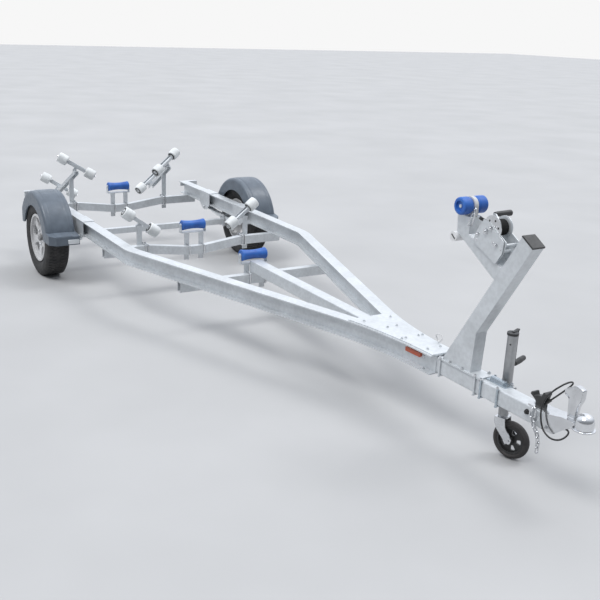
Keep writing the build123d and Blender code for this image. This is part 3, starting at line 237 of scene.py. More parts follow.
finish = {
    "galvanised_steel": galvanised("galvanised", 0.71, 0.64, 0.09, 0.36, 0.38, (0.96, 1.0, 1.03)),
    "bright_zinc": galvanised("bright_zinc", 0.78, 0.66, 0.06, 0.17, 0.9),
    "blue_zinc": galvanised("blue_zinc", 0.62, 0.50, 0.08, 0.22, 0.85, (0.86, 0.96, 1.04)),
    "silver_paint": moulded("silver_paint", grey(0.62), grey(0.54), 0.32, 600.0, 0.05, 0.4),
    "hub_iron": moulded("hub_iron", grey(0.34), grey(0.20), 0.55, 250.0, 0.4),
    "road_tyre": moulded("road_tyre", (0.060, 0.058, 0.056), (0.030, 0.030, 0.031), 0.78, 300.0, 0.4),
    "guard_plastic": moulded("guard_plastic", (0.125, 0.152, 0.185), (0.098, 0.120, 0.148), 0.38, 260.0, 0.3),
    "blue_roller": moulded("blue_roller", (0.030, 0.150, 0.520), (0.020, 0.095, 0.380), 0.45),
    "pale_roller": moulded("pale_roller", (0.80, 0.82, 0.82), (0.64, 0.66, 0.66), 0.42),
    "white_nylon": moulded("white_nylon", grey(0.80), grey(0.68), 0.40),
    "white_webbing": woven("white_webbing", grey(0.78), grey(0.50)),
    "black_webbing": woven("black_webbing", grey(0.028), grey(0.010)),
    "black_plastic": moulded("black_plastic", grey(0.040), grey(0.022), 0.45),
    "black_cable": moulded("black_cable", grey(0.030), grey(0.018), 0.5, 500.0),
    "jockey_rubber": moulded("jockey_rubber", (0.058, 0.052, 0.050), (0.030, 0.028, 0.028), 0.7, 300.0, 0.4),
    "clear_lens": lens("clear_lens", (0.82, 0.84, 0.85), (0.60, 0.63, 0.66)),
    "amber_lens": lens("amber_lens", (0.66, 0.11, 0.02), (0.36, 0.04, 0.01)),
}

dull_zinc = galvanised("dull_zinc", 0.42, 0.34, 0.10, 0.36, 0.75)
for row in frame["record"]["subparts"]:
    mesh = frame["nodes"][row["node"]].data
    mesh.materials.clear()
    mesh.materials.append(dull_zinc if row["node"] == "jockey_tube" else finish[row["material_slot"]])


# Making pieces
def keep(name, bm, body, slot, replaced=(), angle=35.0):
    """A piece from a bmesh that already lies in its place."""
    bmesh.ops.recalc_face_normals(bm, faces=bm.faces)
    mesh = bpy.data.meshes.new(name)
    bm.to_mesh(mesh)
    bm.free()
    return keep_mesh(name, mesh, body, slot, replaced, angle)


def keep_mesh(name, mesh, body, slot, replaced=(), angle=35.0):
    """Dress a mesh and set it out as a piece that rides on its body."""
    mesh.materials.clear()
    mesh.materials.append(finish[slot])
    for polygon in mesh.polygons:
        polygon.material_index = 0
        polygon.use_smooth = True
    mesh.set_sharp_from_angle(angle=radians(angle))
    piece = bpy.data.objects.new(name, mesh)
    bpy.context.scene.collection.objects.link(piece)
    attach(piece, body)
    if replaced:
        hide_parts(*replaced)
    return piece


def frame_of(origin, x_way, z_way):
    """A place in the frame from a point and two square directions."""
    x, z = Vector(x_way).normalized(), Vector(z_way).normalized()
    return Matrix.Translation(origin) @ Matrix((x, z.cross(x), z)).transposed().to_4x4()


def lathe(rows, place, steps=48, bm=None):
    """Turn a closed (along, radius) outline in millimetres about the place's X axis."""
    bm = bm or bmesh.new()
    rings = []
    for k in range(steps):
        a = 2 * pi * k / steps
        spots = [Vector((u * MM, r * MM * cos(a), r * MM * sin(a))) for u, r in rows]
        rings.append([bm.verts.new(place @ spot) for spot in spots])
    for k in range(steps):
        p, q = rings[k], rings[(k + 1) % steps]
        for n in range(len(rows)):
            m = (n + 1) % len(rows)
            bm.faces.new((p[n], q[n], q[m], p[m]))
    bmesh.ops.remove_doubles(bm, verts=bm.verts, dist=1e-6)
    return bm


def plate(outline, place, thick):
    """A plate with an (x, y) outline in millimetres, its thickness from the place up."""
    bm = bmesh.new()
    verts = [bm.verts.new(place @ Vector((x * MM, y * MM, 0.0))) for x, y in outline]
    face = bm.faces.new(verts)
    top = bmesh.ops.extrude_face_region(bm, geom=[face])["geom"]
    lift = place.to_3x3() @ Vector((0.0, 0.0, thick * MM))
    bmesh.ops.translate(bm, vec=lift, verts=[v for v in top if isinstance(v, bmesh.types.BMVert)])
    return bm


def pipe(points, radius, sides=10, closed=False, bm=None):
    """A round bar along points of the frame."""
    bm = bm or bmesh.new()
    points = [Vector(p) for p in points]
    count = len(points)
    rings = []
    side = None
    for n, p in enumerate(points):
        a = points[n - 1] if n or closed else p
        b = points[(n + 1) % count] if n < count - 1 or closed else p
        d = (b - a).normalized()
        if side is None:
            side = d.orthogonal().normalized()
        side = (side - d * side.dot(d)).normalized()
        up = d.cross(side)
        ring = []
        for k in range(sides):
            t = 2 * pi * k / sides
            ring.append(bm.verts.new(p + (side * cos(t) + up * sin(t)) * radius * MM))
        rings.append(ring)
    last = count if closed else count - 1
    for n in range(last):
        p, q = rings[n], rings[(n + 1) % count]
        for k in range(sides):
            m = (k + 1) % sides
            bm.faces.new((p[k], p[m], q[m], q[k]))
    if not closed:
        bm.faces.new(rings[0][::-1])
        bm.faces.new(rings[-1])
    return bm


def rounded(points, radius, steps=4):
    """The points of a path with its corners rounded."""
    points = [Vector(p) for p in points]
    path = [points[0]]
    for a, b, c in zip(points, points[1:], points[2:]):
        u, v = (a - b).normalized(), (c - b).normalized()
        start, end = b + u * radius, b + v * radius
        for k in range(steps + 1):
            t = k / steps
            path.append(start * (1 - t) ** 2 + b * 2 * t * (1 - t) + end * t**2)
    return path + [points[-1]]


# Cable: the route of its solid, in the level trailer's millimetres
CABLE_D = 0.008
CABLE_ROUTE = [(4489.0, -6.0, 436.0), (4524.0, -6.0, 436.0), (4562.0, -8.0, 440.0), (4598.0, -14.0, 446.0),
               (4630.0, -26.0, 450.0), (4646.0, -50.0, 443.0), (4636.0, -70.0, 424.0), (4604.0, -72.0, 406.0),
               (4562.0, -66.0, 398.0), (4522.0, -62.0, 412.0), (4500.0, -60.0, 446.0), (4490.0, -58.0, 488.0),
               (4486.0, -48.0, 528.0), (4498.0, -38.0, 566.0), (4526.0, -32.0, 602.0), (4554.0, -30.0, 630.0),
               (4574.0, -20.0, 650.0), (4579.0, 10.0, 654.0), (4568.0, 33.0, 636.0), (4544.0, 40.0, 608.0),
               (4518.0, 34.0, 578.0), (4496.0, 22.0, 550.0), (4476.0, 12.0, 526.0)]


def add_cable():
    """The cable as a drawn-out curve in place of its solid."""
    curve = bpy.data.curves.new("cable", "CURVE")
    curve.dimensions = "3D"
    curve.bevel_depth = CABLE_D / 2
    curve.bevel_resolution = 4
    curve.resolution_u = 8
    curve.use_fill_caps = True
    spline = curve.splines.new("NURBS")
    spline.points.add(len(CABLE_ROUTE) - 1)
    for point, place in zip(spline.points, CABLE_ROUTE):
        point.co = (*at(*place), 1.0)
    spline.order_u = 3
    spline.use_endpoint_u = True
    curve.materials.append(finish["black_cable"])
    cable = bpy.data.objects.new("cable", curve)
    bpy.context.scene.collection.objects.link(cable)
    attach(cable, "root")
    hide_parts("trailer_cable")


add_cable()

# Tyres, in millimetres from the wheel's axis and its middle plane
TYRE_HALF = 92.5
BEAD_R = 178.0
RIM_R = 188.0
SEAT_HALF = 69.8
TREAD_HALF = 74.0
TREAD_DEPTH = 6.0
TREAD_ROWS = 5
TREAD_COUNT = 62
TREAD_GAP = 5.0
TREAD_ROOT = 3.0
TREAD_TOP = 1.0
TREAD_STAGGER = 0.35
# the crown's height in the middle and its fall towards the shoulders
CROWN, CROWN_FALL = 0.8, 1.28
BLOCK_CORNERS = ((-0.5, -0.40), (0.5, -0.34), (0.5, 0.40), (-0.5, 0.34))
BLOCK_FACES = ((0, 1, 2, 3), (4, 5, 6, 7), (0, 1, 5, 4), (1, 2, 6, 5), (2, 3, 7, 6), (3, 0, 4, 7))


def node_tree(name, sockets):
    """An empty geometry tree with named inputs. Each socket: name, kind, value."""
    tree = bpy.data.node_groups.new(name, "GeometryNodeTree")
    tree.interface.new_socket("Geometry", in_out="INPUT", socket_type="NodeSocketGeometry")
    for label, kind, value in sockets:
        socket = tree.interface.new_socket(label, in_out="INPUT", socket_type=kind)
        if value is not None:
            socket.default_value = value
    tree.interface.new_socket("Geometry", in_out="OUTPUT", socket_type="NodeSocketGeometry")
    return tree, tree.nodes, tree.links, tree.nodes.new("NodeGroupInput"), tree.nodes.new("NodeGroupOutput")


def grown(name, mesh, tree, values, body, slot, replaced=(), angle=35.0):
    """A piece grown by a geometry tree on a mesh, turned into a plain mesh."""
    seed = bpy.data.objects.new(name + "_seed", mesh)
    bpy.context.scene.collection.objects.link(seed)
    modifier = seed.modifiers.new("grow", "NODES")
    modifier.node_group = tree
    for item in tree.interface.items_tree:
        if item.item_type == "SOCKET" and item.in_out == "INPUT" and item.name in values:
            modifier[item.identifier] = values[item.name]
    bpy.context.view_layer.update()
    result = bpy.data.meshes.new_from_object(seed.evaluated_get(bpy.context.evaluated_depsgraph_get()))
    bpy.data.objects.remove(seed)
    return keep_mesh(name, result, body, slot, replaced, angle)


def tyre_outline():
    """Closed (along, radius) outline of the carcass, with the bead, sidewall steps and shoulder."""
    top = TYRE_R / MM - TREAD_DEPTH
    half = [(SEAT_HALF, BEAD_R), (SEAT_HALF, RIM_R + 4), (76, 198), (82, 206), (84.5, 212), (84.5, 215),
            (88, 222), (91.5, 236), (TYRE_HALF, 246), (91.5, 258), (90.2, 262), (90.6, 265), (88, 274),
            (84, 283), (79, 289), (TREAD_HALF, top - 1.2), (50, top + 0.6), (20, top + 1.4)]
    return half + [(-u, r) for u, r in reversed(half)]


def tread_tree():
    """Instances a block round the tyre: one copy for each of Count turns."""
    tree, nodes, links, given, out = node_tree("tread", [("Count", "NodeSocketInt", TREAD_COUNT)])
    line = nodes.new("GeometryNodeMeshLine")
    links.new(given.outputs["Count"], line.inputs["Count"])
    line.inputs["Offset"].default_value = (0.0, 0.0, 0.0)
    index = nodes.new("GeometryNodeInputIndex")
    share = nodes.new("ShaderNodeMath")
    share.operation = "DIVIDE"
    links.new(index.outputs[0], share.inputs[0])
    links.new(given.outputs["Count"], share.inputs[1])
    angle = nodes.new("ShaderNodeMath")
    angle.operation = "MULTIPLY"
    angle.inputs[1].default_value = 2 * pi
    links.new(share.outputs[0], angle.inputs[0])
    turned = nodes.new("ShaderNodeCombineXYZ")
    links.new(angle.outputs[0], turned.inputs["X"])
    place = nodes.new("GeometryNodeInstanceOnPoints")
    links.new(line.outputs["Mesh"], place.inputs["Points"])
    links.new(given.outputs["Geometry"], place.inputs["Instance"])
    links.new(turned.outputs[0], place.inputs["Rotation"])
    real = nodes.new("GeometryNodeRealizeInstances")
    links.new(place.outputs["Instances"], real.inputs["Geometry"])
    paint = nodes.new("GeometryNodeSetMaterial")
    paint.inputs["Material"].default_value = finish["road_tyre"]
    links.new(real.outputs["Geometry"], paint.inputs["Geometry"])
    links.new(paint.outputs["Geometry"], out.inputs["Geometry"])
    return tree


def tread_blocks():
    """The blocks of one turn of the tread, about the X axis, staggered between rows."""
    bm = bmesh.new()
    width = (2 * TREAD_HALF - (TREAD_ROWS - 1) * TREAD_GAP) / TREAD_ROWS
    pitch = 2 * pi / TREAD_COUNT
    for row in range(TREAD_ROWS):
        u = -TREAD_HALF + width / 2 + row * (width + TREAD_GAP)
        crown = CROWN - CROWN_FALL * (u / TREAD_HALF) ** 2
        low, high = TYRE_R / MM - TREAD_DEPTH - TREAD_ROOT, TYRE_R / MM - TREAD_TOP + crown
        skew = TREAD_STAGGER * pitch * (row % 2)
        corners = []
        for r in (low, high):
            for du, da in BLOCK_CORNERS:
                a = pitch * da + skew
                corners.append(bm.verts.new(((u + du * width) * MM, r * MM * sin(a), r * MM * cos(a))))
        for face in BLOCK_FACES:
            bm.faces.new([corners[k] for k in face])
    bmesh.ops.recalc_face_normals(bm, faces=bm.faces)
    mesh = bpy.data.meshes.new("tread_blocks")
    bm.to_mesh(mesh)
    bm.free()
    return mesh


def add_tyres():
    """Carcass and tread of each road wheel."""
    tree = tread_tree()
    for side, s in SIDES:
        place = frame_of(at(0, s * WHEEL_Y / MM, TYRE_R / MM), (0, s, 0), UP)
        bm = lathe(tyre_outline(), place, 96)
        wheel = "wheel_" + side
        blocks = grown("tread_" + side, tread_blocks(), tree, {"Count": TREAD_COUNT}, wheel, "road_tyre")
        blocks.data.transform(place)
        keep("carcass_" + side, bm, wheel, "road_tyre", ["tyre_" + side], 30.0)


add_tyres()


# Small fixings: bolt heads, nuts and washers, set by one geometry tree on points.
# Sides, radius, depth and lift of the washer, the hexagon and the stud end of a shank 1 wide.
BOLT_PARTS = ((20, 1.15, 0.18, 0.09), (6, 0.98, 0.75, 0.55), (12, 0.46, 0.40, 1.10))


def bolt_tree():
    """A washer, a hexagon and a stud end on each point, turned to its axis and sized by its size."""
    tree, nodes, links, given, out = node_tree("bolts", [("Metal", "NodeSocketMaterial", None)])

    def cylinder(sides, radius, depth, lift):
        node = nodes.new("GeometryNodeMeshCylinder")
        node.inputs["Vertices"].default_value = sides
        node.inputs["Radius"].default_value = radius
        node.inputs["Depth"].default_value = depth
        move = nodes.new("GeometryNodeTransform")
        move.inputs["Translation"].default_value = (0.0, 0.0, lift)
        links.new(node.outputs["Mesh"], move.inputs["Geometry"])
        return move.outputs["Geometry"]

    join = nodes.new("GeometryNodeJoinGeometry")
    for sides, radius, depth, lift in BOLT_PARTS:
        links.new(cylinder(sides, radius, depth, lift), join.inputs["Geometry"])

    def named(label, kind):
        node = nodes.new("GeometryNodeInputNamedAttribute")
        node.data_type = kind
        node.inputs["Name"].default_value = label
        return node.outputs["Attribute"]

    align = nodes.new("FunctionNodeAlignRotationToVector")
    align.axis = "Z"
    links.new(named("axis", "FLOAT_VECTOR"), align.inputs["Vector"])
    place = nodes.new("GeometryNodeInstanceOnPoints")
    links.new(given.outputs["Geometry"], place.inputs["Points"])
    links.new(join.outputs["Geometry"], place.inputs["Instance"])
    links.new(align.outputs["Rotation"], place.inputs["Rotation"])
    links.new(named("size", "FLOAT"), place.inputs["Scale"])
    real = nodes.new("GeometryNodeRealizeInstances")
    links.new(place.outputs["Instances"], real.inputs["Geometry"])
    paint = nodes.new("GeometryNodeSetMaterial")
    links.new(given.outputs["Metal"], paint.inputs["Material"])
    links.new(real.outputs["Geometry"], paint.inputs["Geometry"])
    links.new(paint.outputs["Geometry"], out.inputs["Geometry"])
    return tree


BOLTS = bolt_tree()


def bolts(name, rows, body, slot):
    """Bolt heads from rows of x, y, z, axis, shank width, in the level trailer's millimetres."""
    mesh = bpy.data.meshes.new(name + "_points")
    mesh.from_pydata([at(*row[:3]) for row in rows], [], [])
    mesh.attributes.new("axis", "FLOAT_VECTOR", "POINT")
    mesh.attributes.new("size", "FLOAT", "POINT")
    for k, row in enumerate(rows):
        mesh.attributes["axis"].data[k].vector = way(*row[3])
        mesh.attributes["size"].data[k].value = row[4] * MM
    return grown(name, mesh, BOLTS, {"Metal": finish[slot]}, body, slot, angle=25.0)


NUT_COUNT = 5
NUT_CIRCLE = 57.0
NUT_SEAT = 47.0
VALVE_TURN = radians(36)
# radius from the wheel's axis, distance outwards from its middle
VALVE_FOOT = (158.0, 40.0)
VALVE_TIP = (148.0, 66.0)
VALVE_R = 3.6


def wheel_point(s, radius, turned, outwards):
    """A point of a road wheel, in the level trailer's millimetres. s is 1 for the left wheel."""
    return radius * sin(turned), s * (WHEEL_Y / MM + outwards), TYRE_R / MM + radius * cos(turned)


def add_wheel_fixings():
    """Wheel nuts and the valve of each wheel."""
    for side, s in SIDES:
        turns = [2 * pi * (k + 0.5) / NUT_COUNT for k in range(NUT_COUNT)]
        rows = [(*wheel_point(s, NUT_CIRCLE, a, NUT_SEAT), (0, s, 0), 11.0) for a in turns]
        bolts("wheel_nuts_" + side, rows, "wheel_" + side, "bright_zinc")
        ends = [at(*wheel_point(s, r, VALVE_TURN, out)) for r, out in (VALVE_FOOT, VALVE_TIP)]
        keep("valve_" + side, pipe(ends, VALVE_R, 10), "wheel_" + side, "black_plastic")


add_wheel_fixings()


# Sizes that the details share with the CAD, in the level trailer's millimetres
AXLE_Z = 300.0
RAIL_BOTTOM = 393.0
RAIL_Y = 691.5
NOSE_END_X = 3712.0
NOSE_ARC_R = 2400.0
NOSE_WEB_Y = 42.5
PLATE_Z = 501.0


def web_y(x):
    """Distance of the rail's web from the centre line near the nose."""
    return NOSE_WEB_Y + NOSE_ARC_R - (NOSE_ARC_R**2 - (NOSE_END_X - x) ** 2) ** 0.5


def strip(path, section, name, body, slot):
    """A section swept along a side outline. Path: points (x, z). Section rows: y, lift from the path."""
    bm = bmesh.new()
    rings = []
    for n, p in enumerate(path):
        a, b = path[max(n - 1, 0)], path[min(n + 1, len(path) - 1)]
        d = (b - a).normalized()
        out = Vector((-d.y, d.x))
        rings.append([bm.verts.new(at(p.x + out.x * v, y, p.y + out.y * v)) for y, v in section])
    for p, q in zip(rings, rings[1:]):
        for k in range(len(section)):
            m = (k + 1) % len(section)
            bm.faces.new((p[k], p[m], q[m], q[k]))
    bm.faces.new(rings[0])
    bm.faces.new(rings[-1][::-1])
    return keep(name, bm, body, slot)


# The mudguard's side outline: an arch round the axle with a rounded rear corner and a flat front lip
GUARD_R = 370.0
GUARD_REAR = -322.0
GUARD_FOOT_Z = 385.0
GUARD_CORNER = 90.0
LIP = (352.6, 412.0)
LIP_END = (440.0, 399.0)
# Its raised middle and the flange of its wheel arch. Rows: distance from the centre line, lift
MIDDLE_SECTION = [(812, -1), (818, 2.2), (828, 2.8), (938, 2.8), (948, 2.2), (954, -1)]
FLANGE_SECTION = [(984, 0.5), (984, -10), (995.6, -10), (995.6, 2.5), (992.5, 2.5)]
ARCH_R = 268.0
ARCH_FOOT_FRONT = 345.0
ARCH_FOOT_REAR = 375.0


def guard_path():
    """Points (x, z) along the guard's top, from its rear foot to its lip."""
    inner = GUARD_R - GUARD_CORNER
    cx = GUARD_REAR + GUARD_CORNER
    cz = sqrt(inner**2 - cx**2)
    join = degrees(atan2(cz, cx))
    lip = degrees(atan2(LIP[1] - AXLE_Z, LIP[0]))
    points = [Vector((GUARD_REAR, GUARD_FOOT_Z))]
    for k in range(11):
        a = radians(180.0 + (join - 180.0) * k / 10)
        points.append(Vector((cx + GUARD_CORNER * cos(a), AXLE_Z + cz + GUARD_CORNER * sin(a))))
    for k in range(1, 41):
        a = radians(join + (lip - join) * k / 40)
        points.append(Vector((GUARD_R * cos(a), AXLE_Z + GUARD_R * sin(a))))
    return points + [Vector(LIP_END)]


def arch_path():
    """Points (x, z) along the wheel arch's edge, from its rear foot to its front one."""
    points = []
    for k in range(49):
        a = radians(198 - 216 * k / 48)
        p = Vector((ARCH_R * cos(a), AXLE_Z + ARCH_R * sin(a)))
        if p.y > (ARCH_FOOT_REAR if p.x < 0 else ARCH_FOOT_FRONT):
            points.append(p)
    return points


def add_guards():
    """Raised middle of each mudguard and the flange round its wheel arch."""
    for side, s in SIDES:
        for name, path, section in (("guard_middle_", guard_path(), MIDDLE_SECTION),
                                    ("arch_flange_", arch_path(), FLANGE_SECTION)):
            strip(path, [(s * y, lift) for y, lift in section], name + side, "root", "guard_plastic")


add_guards()


# The rods of the pale rollers: each twin's outer and inner roller middle on the left side
TWINS = {"front": ((793.0, 516.0, 620.0), (816.0, 330.0, 491.0)),
         "rear_upper": ((-713.0, 518.0, 787.0), (-612.0, 316.0, 665.0)),
         "rear_lower": ((-1149.0, 545.0, 545.0), (-1067.0, 334.0, 413.0))}
PAD_HALF = 42.0
# painted shade: the black ring sunk in each roller end's hollow stands in for the shade there
BORE_SHADE_RING = [(0, 19), (0, 31), (1.6, 31), (1.6, 19)]
BORE_SINK = 2.4
ROD_NUT_GAP = 0.6


def twin(name, s):
    """The twin's outer end, inner end and directions: along its rod, and up out of its channel."""
    a, b = [Vector((x, s * y, z)) for x, y, z in TWINS[name]]
    d = (a - b).normalized()
    return a, b, d, (Vector((0, 0, 1)) - d * d.z).normalized()


def add_twin_details():
    """Nuts on the rods' ends, and black rings of painted shade sunk in the hollows of the rollers' ends."""
    nuts = []
    for name in TWINS:
        for side, s in SIDES:
            a, b, d, up = twin(name, s)
            for p, e in ((a, d), (b, -d)):
                nuts.append((*(p + e * (PAD_HALF + ROD_NUT_GAP)), tuple(e), 8.5))
            # black rings of painted shade in the hollows of this twin's roller ends
            dark = bmesh.new()
            for p in (a, b):
                for e in (d, -d):
                    place = frame_of(at(*(p + e * (PAD_HALF - BORE_SINK))), way(*e), way(*up))
                    lathe(BORE_SHADE_RING, place, 32, dark)
            keep("roller_bore_shade_" + name + "_" + side, dark, "pads_" + name + "_" + side, "black_plastic")
    bolts("rod_nuts", nuts, "root", "bright_zinc")


add_twin_details()


# Cross-members: place along the trailer, and how far their low middle part hangs below the rails
MEMBERS = {"rear": (-730.0, 40.0), "front": (855.0, 40.0), "nose": (1817.0, 0.0)}
MEMBER_HALF = 25.0
MEMBER_H = 65.0
KEEL_LEG_Y = 60.0
SQUARE_BOLT_R = 5.0
SQUARE_BOLT_GAP = 5.5
SQUARE_BOLT_BEND = 0.008
NUT_PLATE_GAP = 12.0
# member, place across, thickness of the plate on its back, places of its bolts
STEMS = [("rear", 420.0, 10.0, (-11, 11)), ("front", 405.0, 10.0, (-11, 11))]
KEEL_LEGS = [(member, KEEL_LEG_Y, 6.0, (0,)) for member in ("rear", "front", "nose")]


def add_member_bolts():
    """Square bolts round the cross-members, two for each stem and one for each keel leg."""
    bm, nuts = bmesh.new(), []
    for member, y, plate_t, spots in STEMS + KEEL_LEGS:
        x, drop = MEMBERS[member]
        # the stems stand outside the member's low middle part
        if y > KEEL_LEG_Y:
            drop = 0
        top, low = RAIL_BOTTOM - drop + SQUARE_BOLT_GAP, RAIL_BOTTOM - drop - MEMBER_H - SQUARE_BOLT_GAP
        back, front = x - MEMBER_HALF - plate_t - NUT_PLATE_GAP, x + MEMBER_HALF + SQUARE_BOLT_GAP
        for s in (1, -1):
            for dy in spots:
                w = s * (y + dy)
                corners = [at(back, w, top), at(front, w, top), at(front, w, low), at(back, w, low)]
                pipe(rounded(corners, SQUARE_BOLT_BEND), SQUARE_BOLT_R, 10, bm=bm)
                for z in (top, low):
                    nuts.append((back + NUT_PLATE_GAP - 0.5, w, z, (-1, 0, 0), 8.5))
    keep("member_bolts", bm, "root", "bright_zinc")
    bolts("member_nuts", nuts, "root", "bright_zinc")


add_member_bolts()

# Bolts of the nose plate: places (x, y)
PLATE_BOLTS = [(3200.0, 90.0), (3336.0, 31.0), (3510.0, 42.0), (3511.0, 69.0), (3690.0, 42.0)]
FLANGE_T = 7.0
SPRING_HALF = 325.0
EYE_Z = 369.0
EYE_NUT_Y = 45.3
CLAMP_TOP = 357.8
CLAMP_LOW = 269.5


def add_frame_bolts():
    """Bolts of the nose plate and the cross-members' ends, nuts of the spring eyes and clamps."""
    rows = both([(x, y, PLATE_Z, UP, 7.0) for x, y in PLATE_BOLTS])
    for member in ("rear", "front"):
        for dx in (-14, 14):
            for dy in (-24, 24):
                rows += both([(MEMBERS[member][0] + dx, RAIL_Y + dy, RAIL_BOTTOM + FLANGE_T, UP, 9.0)])
    bolts("frame_bolts", rows, "root", "galvanised_steel")
    rows = []
    for x in (-SPRING_HALF, SPRING_HALF):
        for s in (1, -1):
            for e in (1, -1):
                rows.append((x, s * (RAIL_Y + e * EYE_NUT_Y), EYE_Z, (0, s * e, 0), 12.0))
    for dx in (-29.5, 29.5):
        for dy in (-32, 32):
            for s in (1, -1):
                rows.append((dx, s * (RAIL_Y + dy), CLAMP_TOP, UP, 9.5))
                rows.append((dx, s * (RAIL_Y + dy), CLAMP_LOW, DOWN, 9.5))
    bolts("spring_nuts", rows, "root", "bright_zinc")


add_frame_bolts()

# Rows of x, y, z, axis and shank width. The paired ones stand on both sides of the drawbar.
PAIRED_NOSE_BOLTS = [(3700.0, 66.0, 400.0, UP, 7.0),
                     (3796.0, 45.3, 488.5, UP, 8.5), (4052.0, 45.3, 488.5, UP, 8.5),
                     (4093.0, 45.3, 486.5, UP, 8.5), (4206.0, 45.3, 486.5, UP, 8.5),
                     (3860.0, 38.0, 488.2, UP, 7.0), (3950.0, 38.0, 488.2, UP, 7.0)]
WINCH_BOLTS = [(4069.0, -39.5, 1148.0, NEAR, 8.0), (4122.0, -39.5, 1128.0, NEAR, 8.0),
               (3962.0, -39.5, 1140.0, NEAR, 8.0), (4050.0, -45.5, 1212.0, NEAR, 10.0)]
MIDDLE_BOLT = (4408.0, 0.0, 488.2, UP, 8.0)
COUPLING_BOLT = (4518.0, 42.2, 425.0)
LAMP_SCREWS_X = (3533.0, 3672.0)
LAMP_SCREWS_Z = 457.0
DRAWBAR_PLUG = (4397.0, -40.2, 448.0, NEAR, 11.0)


def add_nose_details():
    """Screws of the side lamps, bolts of the post, winch, jockey bracket and coupling, drawbar plug."""
    rows = []
    for x in LAMP_SCREWS_X:
        y = web_y(x) + 2.5
        rows += [(x, s * y, LAMP_SCREWS_Z, (0.07, s, 0), 6.0) for s in (1, -1)]
    rows += both(PAIRED_NOSE_BOLTS) + WINCH_BOLTS + [MIDDLE_BOLT]
    x, y, z = COUPLING_BOLT
    rows += [(x, s * y, z, (0, s, 0), 8.0) for s in (1, -1)]
    bolts("nose_bolts", rows, "root", "bright_zinc")
    bolts("drawbar_plug", [DRAWBAR_PLUG], "root", "black_plastic")


add_nose_details()


def side_plate(outline, y, thick):
    """A plate with an (x, z) outline that faces the near side and starts at y."""
    return plate(outline, frame_of(at(0, y, 0), way(1, 0, 0), way(*NEAR)), thick)


def round_trip(steps):
    """Angles of a full turn."""
    return [2 * pi * k / steps for k in range(steps)]


# Winch: its gear disc, the plate over it, and the strap's hook
GEAR_X, GEAR_Z = 4054.0, 1214.0
GEAR_FACE_Y = -39.8
GEAR_OUTLINE = [(0, 9), (0, 57), (1, 58), (2.4, 58), (3.2, 57), (3.2, 52), (2.4, 50), (2.4, 9)]
GEAR_HOLES = 6
GEAR_HOLE_CIRCLE = 37.0
GEAR_HOLE_START = 8.0
# painted shade: black discs on the gear disc's near face stand in for the shade seen through each lightening hole
GEAR_HOLE_SHADE_Y = -42.0
GEAR_HOLE_SHADE_OUTLINE = [(0, 0), (0, 5), (0.6, 5), (0.6, 0)]
COVER_OUTLINE = [(3936, 1128), (3990, 1243), (4029, 1239), (4139, 1168), (4134, 1112), (4098, 1056)]
COVER_CORNER = 7.0
COVER_Y = -43.4
COVER_T = 3.0
COVER_NUTS = [(4021.0, -46.6, 1192.0, NEAR, 13.0), (4092.0, -46.6, 1142.0, NEAR, 9.0),
              (3968.0, -46.6, 1168.0, NEAR, 9.0)]
LATCH_KNOB = [(3990, -36, 1234), (3981, -56, 1247)]
KNOB_R = 8.0
RING_AT, RING_REACH, RING_WIRE_R = (3912.0, -26.0, 1262.0), (12.0, -6.0, 14.0), 2.6
HOOK_TOP, HOOK_LOW = Vector((3914, -34, 1252)), Vector((3904, -44, 1192))
HOOK_SIDE = Vector((5.0, 7.0, 0.0))
HOOK_WIRE_R = 3.4


def add_winch_details():
    """Gear disc with a black disc of painted shade in each lightening hole, the plate over it, the latch knob and
    the strap's snap hook.
    """
    near, up = way(*NEAR), way(*UP)
    disc = frame_of(at(GEAR_X, GEAR_FACE_Y, GEAR_Z), near, up)
    keep("gear_disc", lathe(GEAR_OUTLINE, disc, 72), "root", "bright_zinc")
    # black discs of painted shade, one in each lightening hole
    hole_shade = bmesh.new()
    for k in range(GEAR_HOLES):
        a = radians(GEAR_HOLE_START + 360 / GEAR_HOLES * k)
        x, z = GEAR_X + GEAR_HOLE_CIRCLE * cos(a), GEAR_Z + GEAR_HOLE_CIRCLE * sin(a)
        lathe(GEAR_HOLE_SHADE_OUTLINE, frame_of(at(x, GEAR_HOLE_SHADE_Y, z), near, up), 16, hole_shade)
    keep("gear_hole_shade", hole_shade, "root", "black_plastic")

    corners = [Vector((x, z, 0.0)) for x, z in COVER_OUTLINE + COVER_OUTLINE[:1]]
    outline = [(v.x, v.y) for v in rounded(corners, COVER_CORNER, 5)[:-1]]
    keep("winch_cover", side_plate(outline, COVER_Y, COVER_T), "root", "galvanised_steel")
    bolts("winch_nuts", COVER_NUTS, "root", "bright_zinc")
    keep("latch_knob", pipe([at(*p) for p in LATCH_KNOB], KNOB_R, 16), "root", "black_plastic")

    # the snap hook on its ring at the strap's end
    (x, y, z), (rx, ry, rz) = RING_AT, RING_REACH
    ring = [at(x + rx * cos(a), y + ry * cos(a), z + rz * sin(a)) for a in round_trip(20)]
    keep("strap_ring", pipe(ring, RING_WIRE_R, 8, closed=True), "root", "bright_zinc")
    half_way = (HOOK_TOP + HOOK_LOW) / 2
    loop = [HOOK_TOP + HOOK_SIDE * 0.6, HOOK_TOP - HOOK_SIDE * 0.6, half_way - HOOK_SIDE,
            HOOK_LOW - HOOK_SIDE * 0.9, HOOK_LOW + HOOK_SIDE * 0.9, half_way + HOOK_SIDE]
    keep("snap_hook", pipe([at(*v) for v in loop], HOOK_WIRE_R, 8, closed=True), "root", "bright_zinc")


add_winch_details()


